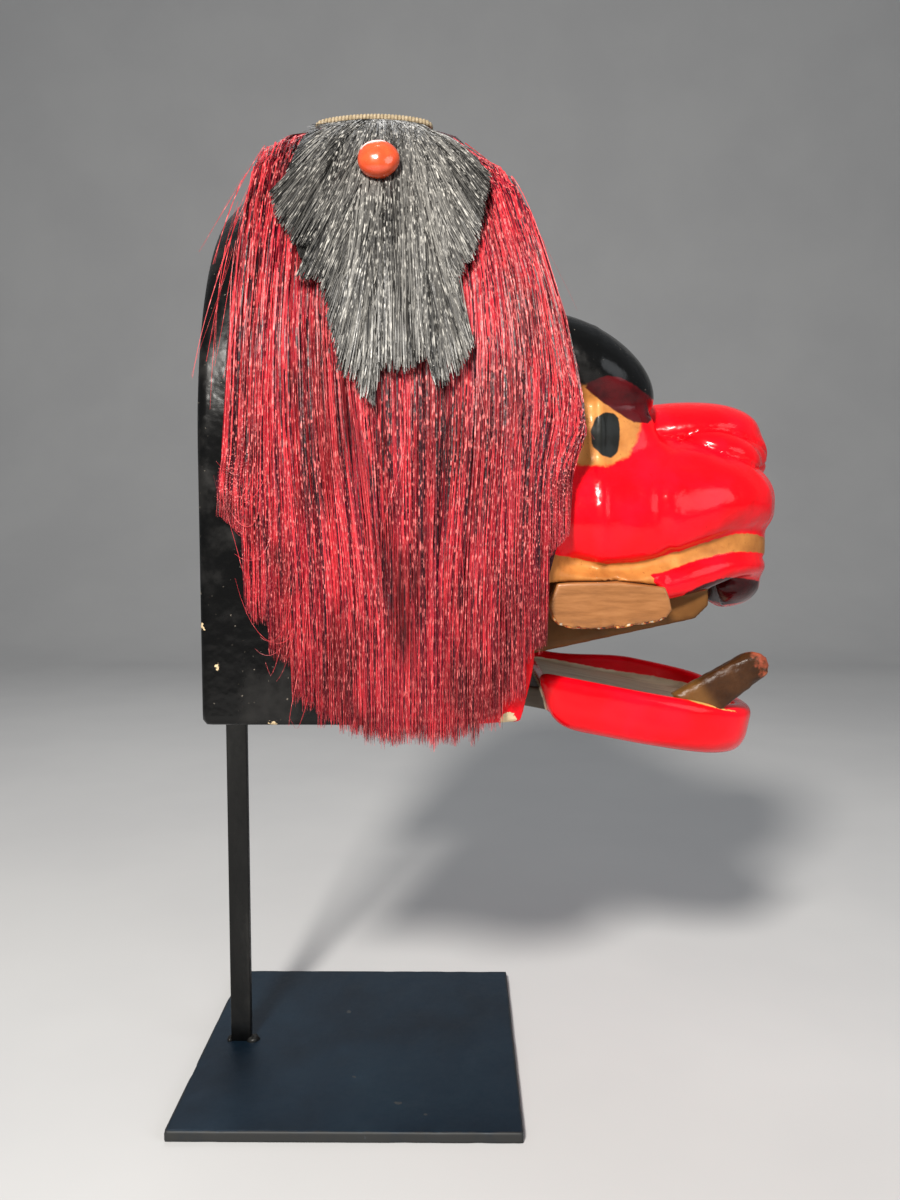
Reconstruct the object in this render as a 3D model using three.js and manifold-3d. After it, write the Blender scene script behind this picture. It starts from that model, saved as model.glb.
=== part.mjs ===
// A carved lion dance mask with a hinged lower jaw and a horsehair mane, held up on a steel display stand.
// Millimetres. +X points along the muzzle, +Y to the lion's left, +Z up.
// The origin is the middle of the stand's underside. The lion's right side is the -Y side.

import * as THREE from "three";
import { mergeVertices } from "three/addons/utils/BufferGeometryUtils.js";
import Module from "manifold-3d";

const wasm = await Module();
wasm.setup();

// Stand: a square plate and a flat bar that leans forward inside the head to the underside of the crown.
const PLATE_SIDE = 200;
const PLATE_THICKNESS = 6.5;
const BAR_WIDTH = 13;
const BAR_THICKNESS = 6;
const BAR_X = -78;
const BAR_BEND_Z = 430;
const BAR_TOP_GAP = 3;

// Cranium: vertical walls up to the spring line, then elliptical arches whose height follows the crown.
const BACK_X = -71.5;
const HEAD_BOTTOM_Z = 237;
const SPRING_Z = 380;
const CROWN_X = 15;
const CROWN_RISE = 190;
const FOREHEAD_REACH = 126;
const NAPE_REACH = 134;
const HEAD_HALF_WIDTH = 112;
const PLAN_START_X = 20;
const PLAN_POWER = 3;
const WALL = 13;

// Muzzle: level bands around the snout, each with a height, a half width and a front; they rise towards the nose.
const MUZZLE_BACK_X = 92;
const MUZZLE_START_X = 130;
const MUZZLE_POWER = 2.6;
const LIP_DIP_X = 165;
const LIP_RISE = 24;
const LIP_RISE_REACH = 95;
const MUZZLE_WALL = 14;
const MUZZLE_BANDS = [
  { z: 292, halfWidth: 73, front: 235, rise: 1 },
  { z: 311, halfWidth: 74, front: 238, rise: 1 },
  { z: 315, halfWidth: 81, front: 246, rise: 1 },
  { z: 325, halfWidth: 86, front: 252, rise: 0.95 },
  { z: 340, halfWidth: 88, front: 254, rise: 0.75 },
  { z: 356, halfWidth: 85, front: 252, rise: 0.55 },
  { z: 370, halfWidth: 78, front: 245, rise: 0.35 },
  { z: 382, halfWidth: 67, front: 235, rise: 0.2 },
  { z: 392, halfWidth: 50, front: 221, rise: 0.1 },
  { z: 399, halfWidth: 26, front: 200, rise: 0 },
];

// Carved lumps on the face: centre, radii and forward tilt in degrees. A lump off the middle has a twin on the left.
const NOSE = { centre: [212, 0, 387], radii: [37, 43, 30], tilt: 0 };
const NOSE_BRIDGE = { centre: [174, 0, 388], radii: [46, 36, 25], tilt: 0 };
const NOSTRIL = { centre: [226, 31, 377], radii: [21, 19, 16], tilt: 12 };
const BROW = { centre: [129, 43, 428], radii: [48, 36, 25], tilt: 38 };
const EYE = { centre: [140, 50, 391], radii: [35, 25, 28], tilt: 0 };
const LIP_BEAK = { centre: [231, 0, 305], radii: [20, 36, 14], tilt: 0 };

// Upper lip roll, tooth ridges and side teeth.
const LIP_ROLL_RADIUS = 9.5;
const LIP_ROLL_PATH = [
  [187, 69, 303],
  [207, 62, 310],
  [230, 38, 317],
  [238, 0, 320],
];
const RIDGE_OUTER_Y = 64;
const RIDGE_THICKNESS = 14;
const TOOTH_OUTER_Y = 89;
const TOOTH_THICKNESS = 11;

// Lower jaw, in the jaw's own frame: the pivot is its origin and its rim is level when it lies in line with the head.
const PIVOT_X = 62;
const PIVOT_Z = 248;
const JAW_OPEN_DEG = 11;
const JAW_FRONT = 184.5;
const JAW_HALF_WIDTH = 66;
const JAW_REAR_TOP = 44;
const JAW_REAR_SLANT = 0.5;
const JAW_RIM_Z = 19;
const JAW_BOTTOM_Z = -12;
const JAW_START_X = 90;
const JAW_POWER = 2.5;
const JAW_WALL = 11;
const JAW_FLOOR_Z = 9;
const TAIL_HALF_WIDTH = 54;
const TAIL_THICKNESS = 12;
const KNUCKLE_RADIUS = 10;
const ROD_RADIUS = 5;
const RUNNING_GAP = 0.5;
const FANG_Y = 47.5;
const FANG_THICKNESS = 13;

// Mane: hair from a sewn band along the crown, over each side of the head and down to a rounded hem.
const BAND_BACK_X = -23;
const BAND_FRONT_X = 47;
const BAND_END_Z = 584.5;
const BAND_MIDDLE_Z = 588.5;
const BAND_WIDTH = 16;
const BAND_HEIGHT = 6;
const MANE_GAP = 2.5;
const MANE_TOP_BACK_X = -21;
const MANE_TOP_FRONT_X = 44;
const MANE_SIDE_BACK_X = -58;
const MANE_SIDE_FRONT_X = 123;
const MANE_LEAST_HALF_WIDTH = 92;
const MANE_SPREAD_POWER = 0.6;
const MANE_HEM_X = 41;
const MANE_HEM_Z = 231;
const MANE_HEM_RISE = 137;
const MANE_HEM_POWER = 3.5;
const MANE_THICKNESS = 9;
const MANE_EDGE_THICKNESS = 4;
const MANE_SHOULDER = 16;
const MANE_LOCKS = 7;
const MANE_LOCK_DEPTH = 3;
const MANE_ARCH_SHARE = 0.62;
const MANE_START = 0.03;

// Black tuft over each side of the mane: locks that fan out from the band and are cut off square.
const TUFT_LOCKS = 9;
const TUFT_BACK = 0.1;
const TUFT_FRONT = 0.9;
const TUFT_SHORTEST = 0.25;
const TUFT_LONGEST = 0.6;
const TUFT_POWER = 0.6;
const TUFT_STEP = 0.03;
const TUFT_THICKNESS = 3;
const TUFT_GAP = 1.5;
const BEAD_RADIUS = 11;
const BEAD_PLACE = [0.46, 0.31];

const CONTACT_GAP = 0.4;

const red = new THREE.MeshStandardMaterial({ color: 0xc8141c, roughness: 0.25, metalness: 0 });
const gold = new THREE.MeshStandardMaterial({ color: 0xa8782f, roughness: 0.45, metalness: 0.4 });
const maneRed = new THREE.MeshStandardMaterial({ color: 0x9c1f33, roughness: 0.5, metalness: 0 });
const tuftGrey = new THREE.MeshStandardMaterial({ color: 0x55565a, roughness: 0.4, metalness: 0 });
const coral = new THREE.MeshStandardMaterial({ color: 0xc8401c, roughness: 0.3, metalness: 0 });
const linen = new THREE.MeshStandardMaterial({ color: 0xc2a67a, roughness: 0.85, metalness: 0 });
const steel = new THREE.MeshStandardMaterial({ color: 0x1d2733, roughness: 0.4, metalness: 0.8 });
const wood = new THREE.MeshStandardMaterial({ color: 0x8a6a45, roughness: 0.7, metalness: 0 });

const radians = THREE.MathUtils.degToRad;
const lerp = THREE.MathUtils.lerp;
const clamp01 = (value) => THREE.MathUtils.clamp(value, 0, 1);
const smooth = (value) => THREE.MathUtils.smoothstep(value, 0, 1);

// Turns a closed geometry into a solid for joining and cutting.
function solidOf(geometry) {
  const bare = geometry.clone();
  bare.deleteAttribute("normal");
  bare.deleteAttribute("uv");
  const merged = mergeVertices(bare, 1e-4);
  const triVerts = new Uint32Array(merged.index.array);
  const vertProperties = new Float32Array(merged.attributes.position.array);
  return new wasm.Manifold(new wasm.Mesh({ numProp: 3, vertProperties, triVerts }));
}

// Turns a solid back into a named mesh.
function meshOf(name, solid, material) {
  const made = solid.getMesh();
  const geometry = new THREE.BufferGeometry();
  geometry.setAttribute("position", new THREE.BufferAttribute(new Float32Array(made.vertProperties), 3));
  geometry.setIndex(new THREE.BufferAttribute(new Uint32Array(made.triVerts), 1));
  geometry.computeVertexNormals();
  const mesh = new THREE.Mesh(geometry, material);
  mesh.name = name;
  return mesh;
}

// A closed geometry through rings of equal length, with a fan over each end.
function loft(rings) {
  const count = rings[0].length;
  const points = rings.flat();
  const middle = (ring) => ring.reduce((sum, p) => sum.add(p), new THREE.Vector3()).divideScalar(count);
  const startCentre = points.push(middle(rings[0])) - 1;
  const endCentre = points.push(middle(rings.at(-1))) - 1;
  const last = (rings.length - 1) * count;
  const index = [];
  for (let k = 0; k < count; k += 1) {
    const next = (k + 1) % count;
    index.push(startCentre, next, k, endCentre, last + k, last + next);
    for (let r = 0; r < last; r += count) {
      index.push(r + k, r + next, r + count + next, r + k, r + count + next, r + count + k);
    }
  }
  const geometry = new THREE.BufferGeometry().setFromPoints(points);
  geometry.setIndex(index);
  return geometry;
}

// The solid of a loft, whichever way round its rings run.
function loftSolid(rings) {
  const solid = solidOf(loft(rings));
  return solid.volume() > 0 ? solid : solidOf(loft(rings.toReversed()));
}

// An outline in the XZ plane, as a plate between two values of Y.
function plateXZ(outline, fromY, toY) {
  const shape = new THREE.Shape(outline.map(([x, z]) => new THREE.Vector2(x, z)));
  const geometry = new THREE.ExtrudeGeometry(shape, { depth: toY - fromY, bevelEnabled: false });
  geometry.rotateX(Math.PI / 2).translate(0, toY, 0);
  return solidOf(geometry);
}

function cylinderAlongY(radius, length, x, z, sides) {
  return solidOf(new THREE.CylinderGeometry(radius, radius, length, sides).translate(x, 0, z));
}

// An ellipsoid on the right side, the left side or both, turned nose-down by its tilt.
function lump({ centre, radii, tilt }, columns = 20, rows = 12) {
  const ball = new THREE.SphereGeometry(1, columns, rows).scale(...radii).rotateY(radians(tilt));
  const sides = centre[1] === 0 ? [1] : [-1, 1];
  return sides
    .map((side) => solidOf(ball.clone().translate(centre[0], side * centre[1], centre[2])))
    .reduce((sum, next) => sum.add(next));
}

// Cranium

function crownHeight(x) {
  const reach = x > CROWN_X ? FOREHEAD_REACH : NAPE_REACH;
  return CROWN_RISE * Math.sqrt(Math.max(0, 1 - ((x - CROWN_X) / reach) ** 2));
}

function headHalfWidth(x) {
  const run = clamp01((x - PLAN_START_X) / (CROWN_X + FOREHEAD_REACH - PLAN_START_X));
  return HEAD_HALF_WIDTH * (1 - run ** PLAN_POWER) ** (1 / PLAN_POWER);
}

// One arch section across the head, from the right foot over the crown to the left foot.
function archRing(x, inset, footZ, steps) {
  const halfWidth = Math.max(2, headHalfWidth(x) - inset);
  const rise = Math.max(2, crownHeight(x) - inset);
  const ring = [new THREE.Vector3(x, -halfWidth, footZ)];
  for (let k = 0; k <= steps; k += 1) {
    const angle = (Math.PI * k) / steps;
    const y = -halfWidth * Math.cos(angle);
    ring.push(new THREE.Vector3(x, y, SPRING_Z + rise * Math.sin(angle)));
  }
  ring.push(new THREE.Vector3(x, halfWidth, footZ));
  return ring;
}

function cranium(inset, backX, footZ, stations, steps) {
  const frontX = CROWN_X + FOREHEAD_REACH - inset;
  const rings = [];
  for (let k = 0; k <= stations; k += 1) {
    const x = lerp(backX, frontX, Math.sin((k / stations) * 1.5) / Math.sin(1.5));
    rings.push(archRing(x, inset, footZ, steps));
  }
  return loftSolid(rings);
}

// Muzzle

function lipRise(x) {
  return LIP_RISE * ((x - LIP_DIP_X) / LIP_RISE_REACH) ** 2;
}

function muzzleRing({ z, halfWidth, front, rise }, inset, steps) {
  const power = 2 / MUZZLE_POWER;
  const w = Math.max(2, halfWidth - inset);
  const reach = Math.max(2, front - inset - MUZZLE_START_X);
  const at = (x, y) => new THREE.Vector3(x, y, z + rise * lipRise(x));
  const ring = [at(MUZZLE_BACK_X, -w)];
  for (let k = 0; k <= steps; k += 1) {
    const angle = (Math.PI * k) / steps;
    const side = -Math.cos(angle);
    const y = w * Math.sign(side) * Math.abs(side) ** power;
    ring.push(at(MUZZLE_START_X + reach * Math.sin(angle) ** power, y));
  }
  ring.push(at(MUZZLE_BACK_X, w));
  return ring;
}

function muzzle(steps) {
  return loftSolid(MUZZLE_BANDS.map((band) => muzzleRing(band, 0, steps)));
}

// The hollow inside the snout, open below, with its roof under the nose.
function muzzleHollow(steps) {
  const roof = MUZZLE_BANDS.find((band) => band.z > 360);
  const floor = { ...MUZZLE_BANDS[0], z: HEAD_BOTTOM_Z };
  const bands = [floor, ...MUZZLE_BANDS.filter((band) => band.z <= roof.z)];
  return loftSolid(bands.map((band) => muzzleRing(band, MUZZLE_WALL, steps)));
}

function lipRoll() {
  const right = LIP_ROLL_PATH.map(([x, y, z]) => new THREE.Vector3(x, -y, z));
  const left = LIP_ROLL_PATH.slice(0, -1).map(([x, y, z]) => new THREE.Vector3(x, y, z)).reverse();
  const path = new THREE.CatmullRomCurve3([...right, ...left]);
  const section = new THREE.Shape().absarc(0, 0, LIP_ROLL_RADIUS, 0, 2 * Math.PI);
  return solidOf(new THREE.ExtrudeGeometry(section, { steps: 22, curveSegments: 5, extrudePath: path }));
}

// The mouth: everything below the upper lip in front of the cheeks.
function mouthCut() {
  const low = HEAD_BOTTOM_Z - 20;
  const far = JAW_FRONT + PIVOT_X + 40;
  const outline = [
    [96, low],
    [97, HEAD_BOTTOM_Z],
    [104, 266],
    [105, 300],
    [112, 311],
    [150, 312],
    [180, 308.5],
    [215, 315],
    [250, 325],
    [far, 327],
    [far, low],
  ];
  return plateXZ(outline, -2 * HEAD_HALF_WIDTH, 2 * HEAD_HALF_WIDTH);
}

function toothRidge(side) {
  const outline = [
    [102, 268],
    [198, 289],
    [206, 297],
    [204, 322],
    [100, 322],
  ];
  const ys = [side * RIDGE_OUTER_Y, side * (RIDGE_OUTER_Y - RIDGE_THICKNESS)];
  return plateXZ(outline, Math.min(...ys), Math.max(...ys));
}

function pivotHole(radius) {
  return cylinderAlongY(radius, 4 * HEAD_HALF_WIDTH, PIVOT_X, PIVOT_Z, 12);
}

function head() {
  const outside = cranium(0, BACK_X, HEAD_BOTTOM_Z, 15, 18)
    .add(muzzle(20))
    .add(lump(BROW))
    .add(lump(EYE, 16, 10))
    .add(lump(NOSE_BRIDGE, 16, 10))
    .add(lump(NOSE))
    .add(lump(NOSTRIL, 14, 9));
  const hollow = cranium(WALL, BACK_X - 20, HEAD_BOTTOM_Z - 20, 9, 14).add(muzzleHollow(12));
  return outside
    .subtract(mouthCut())
    .add(lipRoll())
    .add(lump(LIP_BEAK, 14, 8))
    .subtract(hollow)
    .add(toothRidge(-1))
    .add(toothRidge(1))
    .subtract(pivotHole(ROD_RADIUS + CONTACT_GAP));
}

function sideTooth(side) {
  const outline = [
    [117, 311 - CONTACT_GAP],
    [150, 312 - CONTACT_GAP],
    [176, 308.8 - CONTACT_GAP],
    [180, 296],
    [172, 289],
    [150, 285.5],
    [126, 285],
    [115, 290],
    [112, 299],
  ];
  const ys = [side * TOOTH_OUTER_Y, side * (TOOTH_OUTER_Y - TOOTH_THICKNESS)];
  return plateXZ(outline, Math.min(...ys), Math.max(...ys));
}

// Lower jaw

function jawRing(z, inset, rearInset, steps) {
  const power = 2 / JAW_POWER;
  const w = JAW_HALF_WIDTH - inset;
  const reach = JAW_FRONT - inset - JAW_START_X;
  const rear = JAW_REAR_TOP + JAW_REAR_SLANT * (JAW_RIM_Z - z) + rearInset;
  const ring = [new THREE.Vector3(rear, -w, z)];
  for (let k = 0; k <= steps; k += 1) {
    const angle = (Math.PI * k) / steps;
    const side = -Math.cos(angle);
    const y = w * Math.sign(side) * Math.abs(side) ** power;
    ring.push(new THREE.Vector3(JAW_START_X + reach * Math.sin(angle) ** power, y, z));
  }
  ring.push(new THREE.Vector3(rear, w, z));
  return ring;
}

function jawFang(grow) {
  const outline = new THREE.Shape();
  outline.moveTo(-8 - grow, -12 - grow);
  outline.lineTo(40, -8 - grow);
  outline.absarc(40, 0, 8 + grow, -Math.PI / 2, Math.PI / 2);
  outline.lineTo(-8 - grow, 12 + grow);
  const depth = FANG_THICKNESS + 2 * grow;
  const geometry = new THREE.ExtrudeGeometry(outline, { depth, bevelEnabled: false, curveSegments: 6 });
  geometry.rotateX(Math.PI / 2).rotateY(radians(-45)).translate(138, -FANG_Y + depth / 2, 17);
  return solidOf(geometry);
}

function jaw() {
  const bottomSteps = [
    [JAW_BOTTOM_Z, 12],
    [JAW_BOTTOM_Z + 4, 4],
    [JAW_BOTTOM_Z + 11, 0],
    [JAW_RIM_Z - 4, 0],
    [JAW_RIM_Z, 4],
  ];
  const body = loftSolid(bottomSteps.map(([z, inset]) => jawRing(z, inset, inset / 2, 20)));
  const trough = loftSolid([JAW_FLOOR_Z, JAW_RIM_Z + 20].map((z) => jawRing(z, JAW_WALL, -30, 16)));
  const tail = solidOf(
    new THREE.BoxGeometry(JAW_REAR_TOP + 26, 2 * TAIL_HALF_WIDTH, TAIL_THICKNESS).translate(
      (JAW_REAR_TOP + 26) / 2,
      0,
      JAW_FLOOR_Z - TAIL_THICKNESS / 2,
    ),
  );
  const knuckle = cylinderAlongY(KNUCKLE_RADIUS, 2 * TAIL_HALF_WIDTH, 0, 0, 16);
  return body
    .subtract(trough)
    .add(tail)
    .add(knuckle)
    .subtract(cylinderAlongY(ROD_RADIUS + RUNNING_GAP, 4 * TAIL_HALF_WIDTH, 0, 0, 12))
    .subtract(jawFang(CONTACT_GAP));
}

// Mane

function maneX(u, s) {
  const top = lerp(MANE_TOP_BACK_X, MANE_TOP_FRONT_X, u);
  const side = lerp(MANE_SIDE_BACK_X, MANE_SIDE_FRONT_X, u);
  return lerp(top, side, Math.sin((Math.PI / 2) * clamp01(s / MANE_ARCH_SHARE)) ** MANE_SPREAD_POWER);
}

function maneHemZ(u) {
  const x = lerp(MANE_SIDE_BACK_X, MANE_SIDE_FRONT_X, u);
  const span = x < MANE_HEM_X ? MANE_HEM_X - MANE_SIDE_BACK_X : MANE_SIDE_FRONT_X - MANE_HEM_X;
  return MANE_HEM_Z + MANE_HEM_RISE * (Math.abs(x - MANE_HEM_X) / span) ** MANE_HEM_POWER;
}

// A point over the head at place u along the band and share s of the way down, lifted off the surface.
function overHead(side, u, s, lift) {
  const x = maneX(u, s);
  const down = clamp01(s / MANE_ARCH_SHARE);
  const angle = (Math.PI / 2) * (1 - down);
  const width = headHalfWidth(x);
  const halfWidth = lerp(width, Math.max(width, MANE_LEAST_HALF_WIDTH), smooth(down));
  const rise = crownHeight(x);
  const fall = clamp01((s - MANE_ARCH_SHARE) / (1 - MANE_ARCH_SHARE));
  const normal = new THREE.Vector2(Math.cos(angle) / halfWidth, Math.sin(angle) / rise).normalize();
  const y = halfWidth * Math.cos(angle) + lift * normal.x;
  const z = SPRING_Z + rise * Math.sin(angle) + lift * normal.y;
  return new THREE.Vector3(x, side * y, lerp(z, maneHemZ(u), fall));
}

// The mane's thickness without its locks: full in the middle, thin at the edges and raised on the shoulders.
function maneBody(u, s) {
  const inner = smooth(5 * Math.min(u, 1 - u));
  const shoulder = MANE_SHOULDER * (1 - inner) * Math.sin(Math.PI * clamp01(s / MANE_ARCH_SHARE)) ** 2;
  const root = lerp(0.6, 1, smooth(s / 0.2));
  const hem = 1 - 0.5 * smooth((s - 0.8) / 0.2);
  return (lerp(MANE_EDGE_THICKNESS, MANE_THICKNESS, inner) * root + shoulder) * hem;
}

function maneTop(u, s) {
  const lock = Math.abs(Math.sin(Math.PI * MANE_LOCKS * u)) * smooth(3 * s);
  return MANE_GAP + maneBody(u, s) + MANE_LOCK_DEPTH * lock;
}

function tuftUnder(u, s) {
  return MANE_GAP + maneBody(u, s) + MANE_LOCK_DEPTH + TUFT_GAP;
}

// A closed sheet of hair; each column runs from the band down to its own end, between two heights over the head.
function hairSheet(side, columns, rows, under, over) {
  const rings = columns.map(({ u, end }) => {
    const stops = Array.from({ length: rows + 1 }, (_, row) => lerp(MANE_START, end, row / rows));
    const outside = stops.map((s) => overHead(side, u, s, over(u, s)));
    const inside = stops.map((s) => overHead(side, u, s, under(u, s)));
    return [...outside, ...inside.reverse()];
  });
  return loftSolid(rings);
}

function mane(side) {
  const count = 3 * MANE_LOCKS;
  const columns = Array.from({ length: count + 1 }, (_, k) => ({ u: k / count, end: 1 }));
  const grown = (shape) => lump({ ...shape, radii: shape.radii.map((r) => r + 1.5) });
  const sheet = hairSheet(side, columns, 12, () => MANE_GAP, maneTop);
  return sheet.subtract(grown(BROW)).subtract(grown(EYE));
}

function tuft(side) {
  const columns = [];
  for (let lock = 0; lock < TUFT_LOCKS; lock += 1) {
    const share = (lock + 0.5) / TUFT_LOCKS;
    const reach = (1 - Math.abs(2 * share - 1)) ** TUFT_POWER;
    const end = lerp(TUFT_SHORTEST, TUFT_LONGEST, reach) + TUFT_STEP * (lock % 2 ? 1 : -1) * reach;
    const middle = lerp(TUFT_BACK, TUFT_FRONT, share);
    const half = (0.42 * (TUFT_FRONT - TUFT_BACK)) / TUFT_LOCKS;
    columns.push({ u: middle - half, end }, { u: middle, end }, { u: middle + half, end });
  }
  const ridge = (u) => Math.abs(Math.sin((Math.PI * TUFT_LOCKS * (u - TUFT_BACK)) / (TUFT_FRONT - TUFT_BACK)));
  return hairSheet(side, columns, 6, tuftUnder, (u, s) => tuftUnder(u, s) + TUFT_THICKNESS * (0.5 + 0.5 * ridge(u)));
}

function bead(side) {
  const lift = tuftUnder(...BEAD_PLACE) + TUFT_THICKNESS + BEAD_RADIUS + CONTACT_GAP;
  const ball = new THREE.SphereGeometry(BEAD_RADIUS, 12, 8);
  return solidOf(ball.translate(...overHead(side, ...BEAD_PLACE, lift)));
}

function hairBand() {
  const middleX = (BAND_BACK_X + BAND_FRONT_X) / 2;
  const path = new THREE.QuadraticBezierCurve3(
    new THREE.Vector3(BAND_BACK_X, 0, BAND_END_Z),
    new THREE.Vector3(middleX, 0, 2 * BAND_MIDDLE_Z - BAND_END_Z),
    new THREE.Vector3(BAND_FRONT_X, 0, BAND_END_Z),
  );
  const section = new THREE.Shape();
  section.absellipse(0, 0, BAND_WIDTH / 2, BAND_HEIGHT / 2, 0, 2 * Math.PI);
  return solidOf(new THREE.ExtrudeGeometry(section, { steps: 10, curveSegments: 6, extrudePath: path }));
}

// Stand

function standPlate() {
  const plate = new THREE.BoxGeometry(PLATE_SIDE, PLATE_SIDE, PLATE_THICKNESS);
  return solidOf(plate.translate(0, 0, PLATE_THICKNESS / 2));
}

function standUpright() {
  const topZ = SPRING_Z + CROWN_RISE - WALL - BAR_TOP_GAP;
  const lean = Math.atan2(CROWN_X - BAR_X, topZ - BAR_BEND_Z);
  const half = BAR_WIDTH / 2;
  const mitre = half * Math.tan(lean / 2);
  const topHalf = half / Math.cos(lean);
  const outline = [
    [BAR_X - half, PLATE_THICKNESS],
    [BAR_X + half, PLATE_THICKNESS],
    [BAR_X + half, BAR_BEND_Z - mitre],
    [CROWN_X + topHalf, topZ],
    [CROWN_X - topHalf, topZ],
    [BAR_X - half, BAR_BEND_Z + mitre],
  ];
  return plateXZ(outline, -BAR_THICKNESS / 2, BAR_THICKNESS / 2);
}

const mask = new THREE.Group();
mask.add(meshOf("stand_plate", standPlate(), steel));
mask.add(meshOf("stand_upright", standUpright(), steel));
mask.add(meshOf("head", head(), red));
mask.add(meshOf("hair_band", hairBand(), linen));

for (const [name, side] of [["right", -1], ["left", 1]]) {
  mask.add(meshOf(`${name}_side_tooth`, sideTooth(side), gold));
  mask.add(meshOf(`${name}_mane`, mane(side), maneRed));
  mask.add(meshOf(`${name}_tuft`, tuft(side), tuftGrey));
  mask.add(meshOf(`${name}_bead`, bead(side), coral));
}

const rod = cylinderAlongY(ROD_RADIUS, 2 * HEAD_HALF_WIDTH - 6, PIVOT_X, PIVOT_Z, 12);
mask.add(meshOf("jaw_pivot_rod", rod, wood));

const jawGroup = new THREE.Group();
jawGroup.position.set(PIVOT_X, 0, PIVOT_Z);
jawGroup.rotation.y = radians(JAW_OPEN_DEG);
jawGroup.add(meshOf("lower_jaw", jaw(), red));
jawGroup.add(meshOf("lower_fang", jawFang(0), gold));
mask.add(jawGroup);

export default mask;
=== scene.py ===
import math

import bpy
import numpy as np
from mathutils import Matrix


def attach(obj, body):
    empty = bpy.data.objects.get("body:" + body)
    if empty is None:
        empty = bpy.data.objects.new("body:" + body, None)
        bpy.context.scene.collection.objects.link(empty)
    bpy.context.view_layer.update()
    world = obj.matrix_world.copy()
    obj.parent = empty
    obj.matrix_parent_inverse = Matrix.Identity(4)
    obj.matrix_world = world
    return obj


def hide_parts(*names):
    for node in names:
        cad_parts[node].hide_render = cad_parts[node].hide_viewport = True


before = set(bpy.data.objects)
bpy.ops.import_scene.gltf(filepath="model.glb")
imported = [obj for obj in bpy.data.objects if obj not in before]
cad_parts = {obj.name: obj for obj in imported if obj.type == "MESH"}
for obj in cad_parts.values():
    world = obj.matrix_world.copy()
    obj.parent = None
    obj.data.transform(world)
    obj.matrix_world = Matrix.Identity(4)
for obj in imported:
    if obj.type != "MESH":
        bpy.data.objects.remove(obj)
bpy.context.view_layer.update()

# Looks of the lion dance mask. Sizes are in millimetres and become metres when a mesh is made.
# +X points along the muzzle, +Y to the lion's left, +Z up. The lion's right side faces the camera.

MM = 0.001
STILL = "head_and_stand"
JAW = "jaw"

# Cranium
BACK_X = -71.5
HEAD_BOTTOM_Z = 237.0
SPRING_Z = 380.0
CROWN_X = 15.0
CROWN_RISE = 190.0
FOREHEAD_REACH = 126.0
NAPE_REACH = 134.0
HEAD_HALF_WIDTH = 112.0
PLAN_START_X = 20.0
WALL = 13.0

# Muzzle: cheek bands by height above the lip edge, and the painted lines along the lip.
MUZZLE_BACK_X = 92.0
MUZZLE_START_X = 130.0
MUZZLE_POWER = 2.6
MUZZLE_WALL = 14.0
BAND_Z = [300, 315, 325, 340, 356, 370, 382, 392, 399, 404]
BAND_HALF_WIDTH = [76, 81.5, 86, 88.5, 85.5, 78, 67, 50, 26, 4]
BAND_FRONT = [246, 251, 257, 260.5, 258.5, 250, 237, 221, 200, 180]
BAND_RISE = [1, 1, 0.92, 0.7, 0.5, 0.3, 0.15, 0.05, 0, 0]
LIP_X = [90, 120, 150, 175, 200, 225, 240, 256]
CHEEK_EDGE_Z = [332, 326, 321.5, 325, 332.5, 338, 336.5, 332]
GOLD_FOOT_Z = [320, 318, 314, 316, 323.5, 327, 326, 322]
ROLL_FOOT_Z = [302, 301, 300, 300, 305, 312, 312, 311]
ROLL_REAR_X = 178.0

# Carved forms of the face: centre, radii and tilt in degrees
NOSE = (206, 0, 398), (43, 41, 19.5), -3
BRIDGE = (172, 0, 390), (46, 37, 22.5), -6
WING = (217, 24, 385), (28, 27, 14.5), 16
CORE = (214, 0, 384), (41, 38, 30)
BEAK = (227, 0, 307), (23, 42, 16)
BROW = (131, 38, 431), (50, 41, 27.5), 28
EYE = (140, 51, 391), (37, 22.5, 30)

# Lower jaw, in its own frame about the pivot
PIVOT_X = 62.0
PIVOT_Z = 248.0
JAW_OPEN_DEG = 11.0
JAW_FRONT = 184.5
JAW_HALF_WIDTH = 66.0
JAW_START_X = 90.0
JAW_POWER = 2.5
JAW_REAR_TOP = 44.0
JAW_RIM_Z = 19.0
JAW_BOTTOM_Z = -12.0
JAW_WALL = 11.0
JAW_FLOOR_Z = 12.5
JAW_TAIL_HALF_WIDTH = 54
KNUCKLE_RADIUS = 10
PIVOT_HOLE_RADIUS = 5.5

# Mane and tuft
MANE_GAP = 2.5
MANE_ARCH_SHARE = 0.62
MANE_START = 0.006
MANE_TOP_X = (-21, 44)
MANE_SIDE_X = (-58, 123)
MANE_LEAST_HALF_WIDTH = 92
MANE_HEM_X = 41
MANE_HEM_Z = 231
MANE_HEM_RISE = 137
MANE_HAIRS = 11500
TUFT_HAIRS = 6500
STRAY_HAIRS = 90
BEAD_PLACE = (0.46, 0.297)
BEAD_RADIUS = 11

# Tape along the crown
TAPE_MIDDLE_X = 12.0
TAPE_HALF_LENGTH = 36.0
TAPE_END_Z = 584.5
TAPE_RISE = 4.0
TAPE_RIBS = 34

# Stand
PLATE_HALF = 100
PLATE_TOP_Z = 6.5
BAR_X = -78.0
BAR_BEND_Z = 430.0
BAR_TOP = (15.0, 554.0)

# Lacquer
RED_DEEP = (0.74, 0.0012, 0.006)
RED_CLEAR = (0.90, 0.003, 0.014)


# ---- small helpers

def lerp(a, b, t):
    return a + (b - a) * t


def clamp01(v):
    return np.clip(v, 0.0, 1.0)


def smooth(v):
    v = clamp01(v)
    return v * v * (3 - 2 * v)


def smin(a, b, k):
    h = np.maximum(k - np.abs(a - b), 0) / k
    return np.minimum(a, b) - h * h * k * 0.25


def smax(a, b, k):
    return -smin(-a, -b, k)


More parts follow.
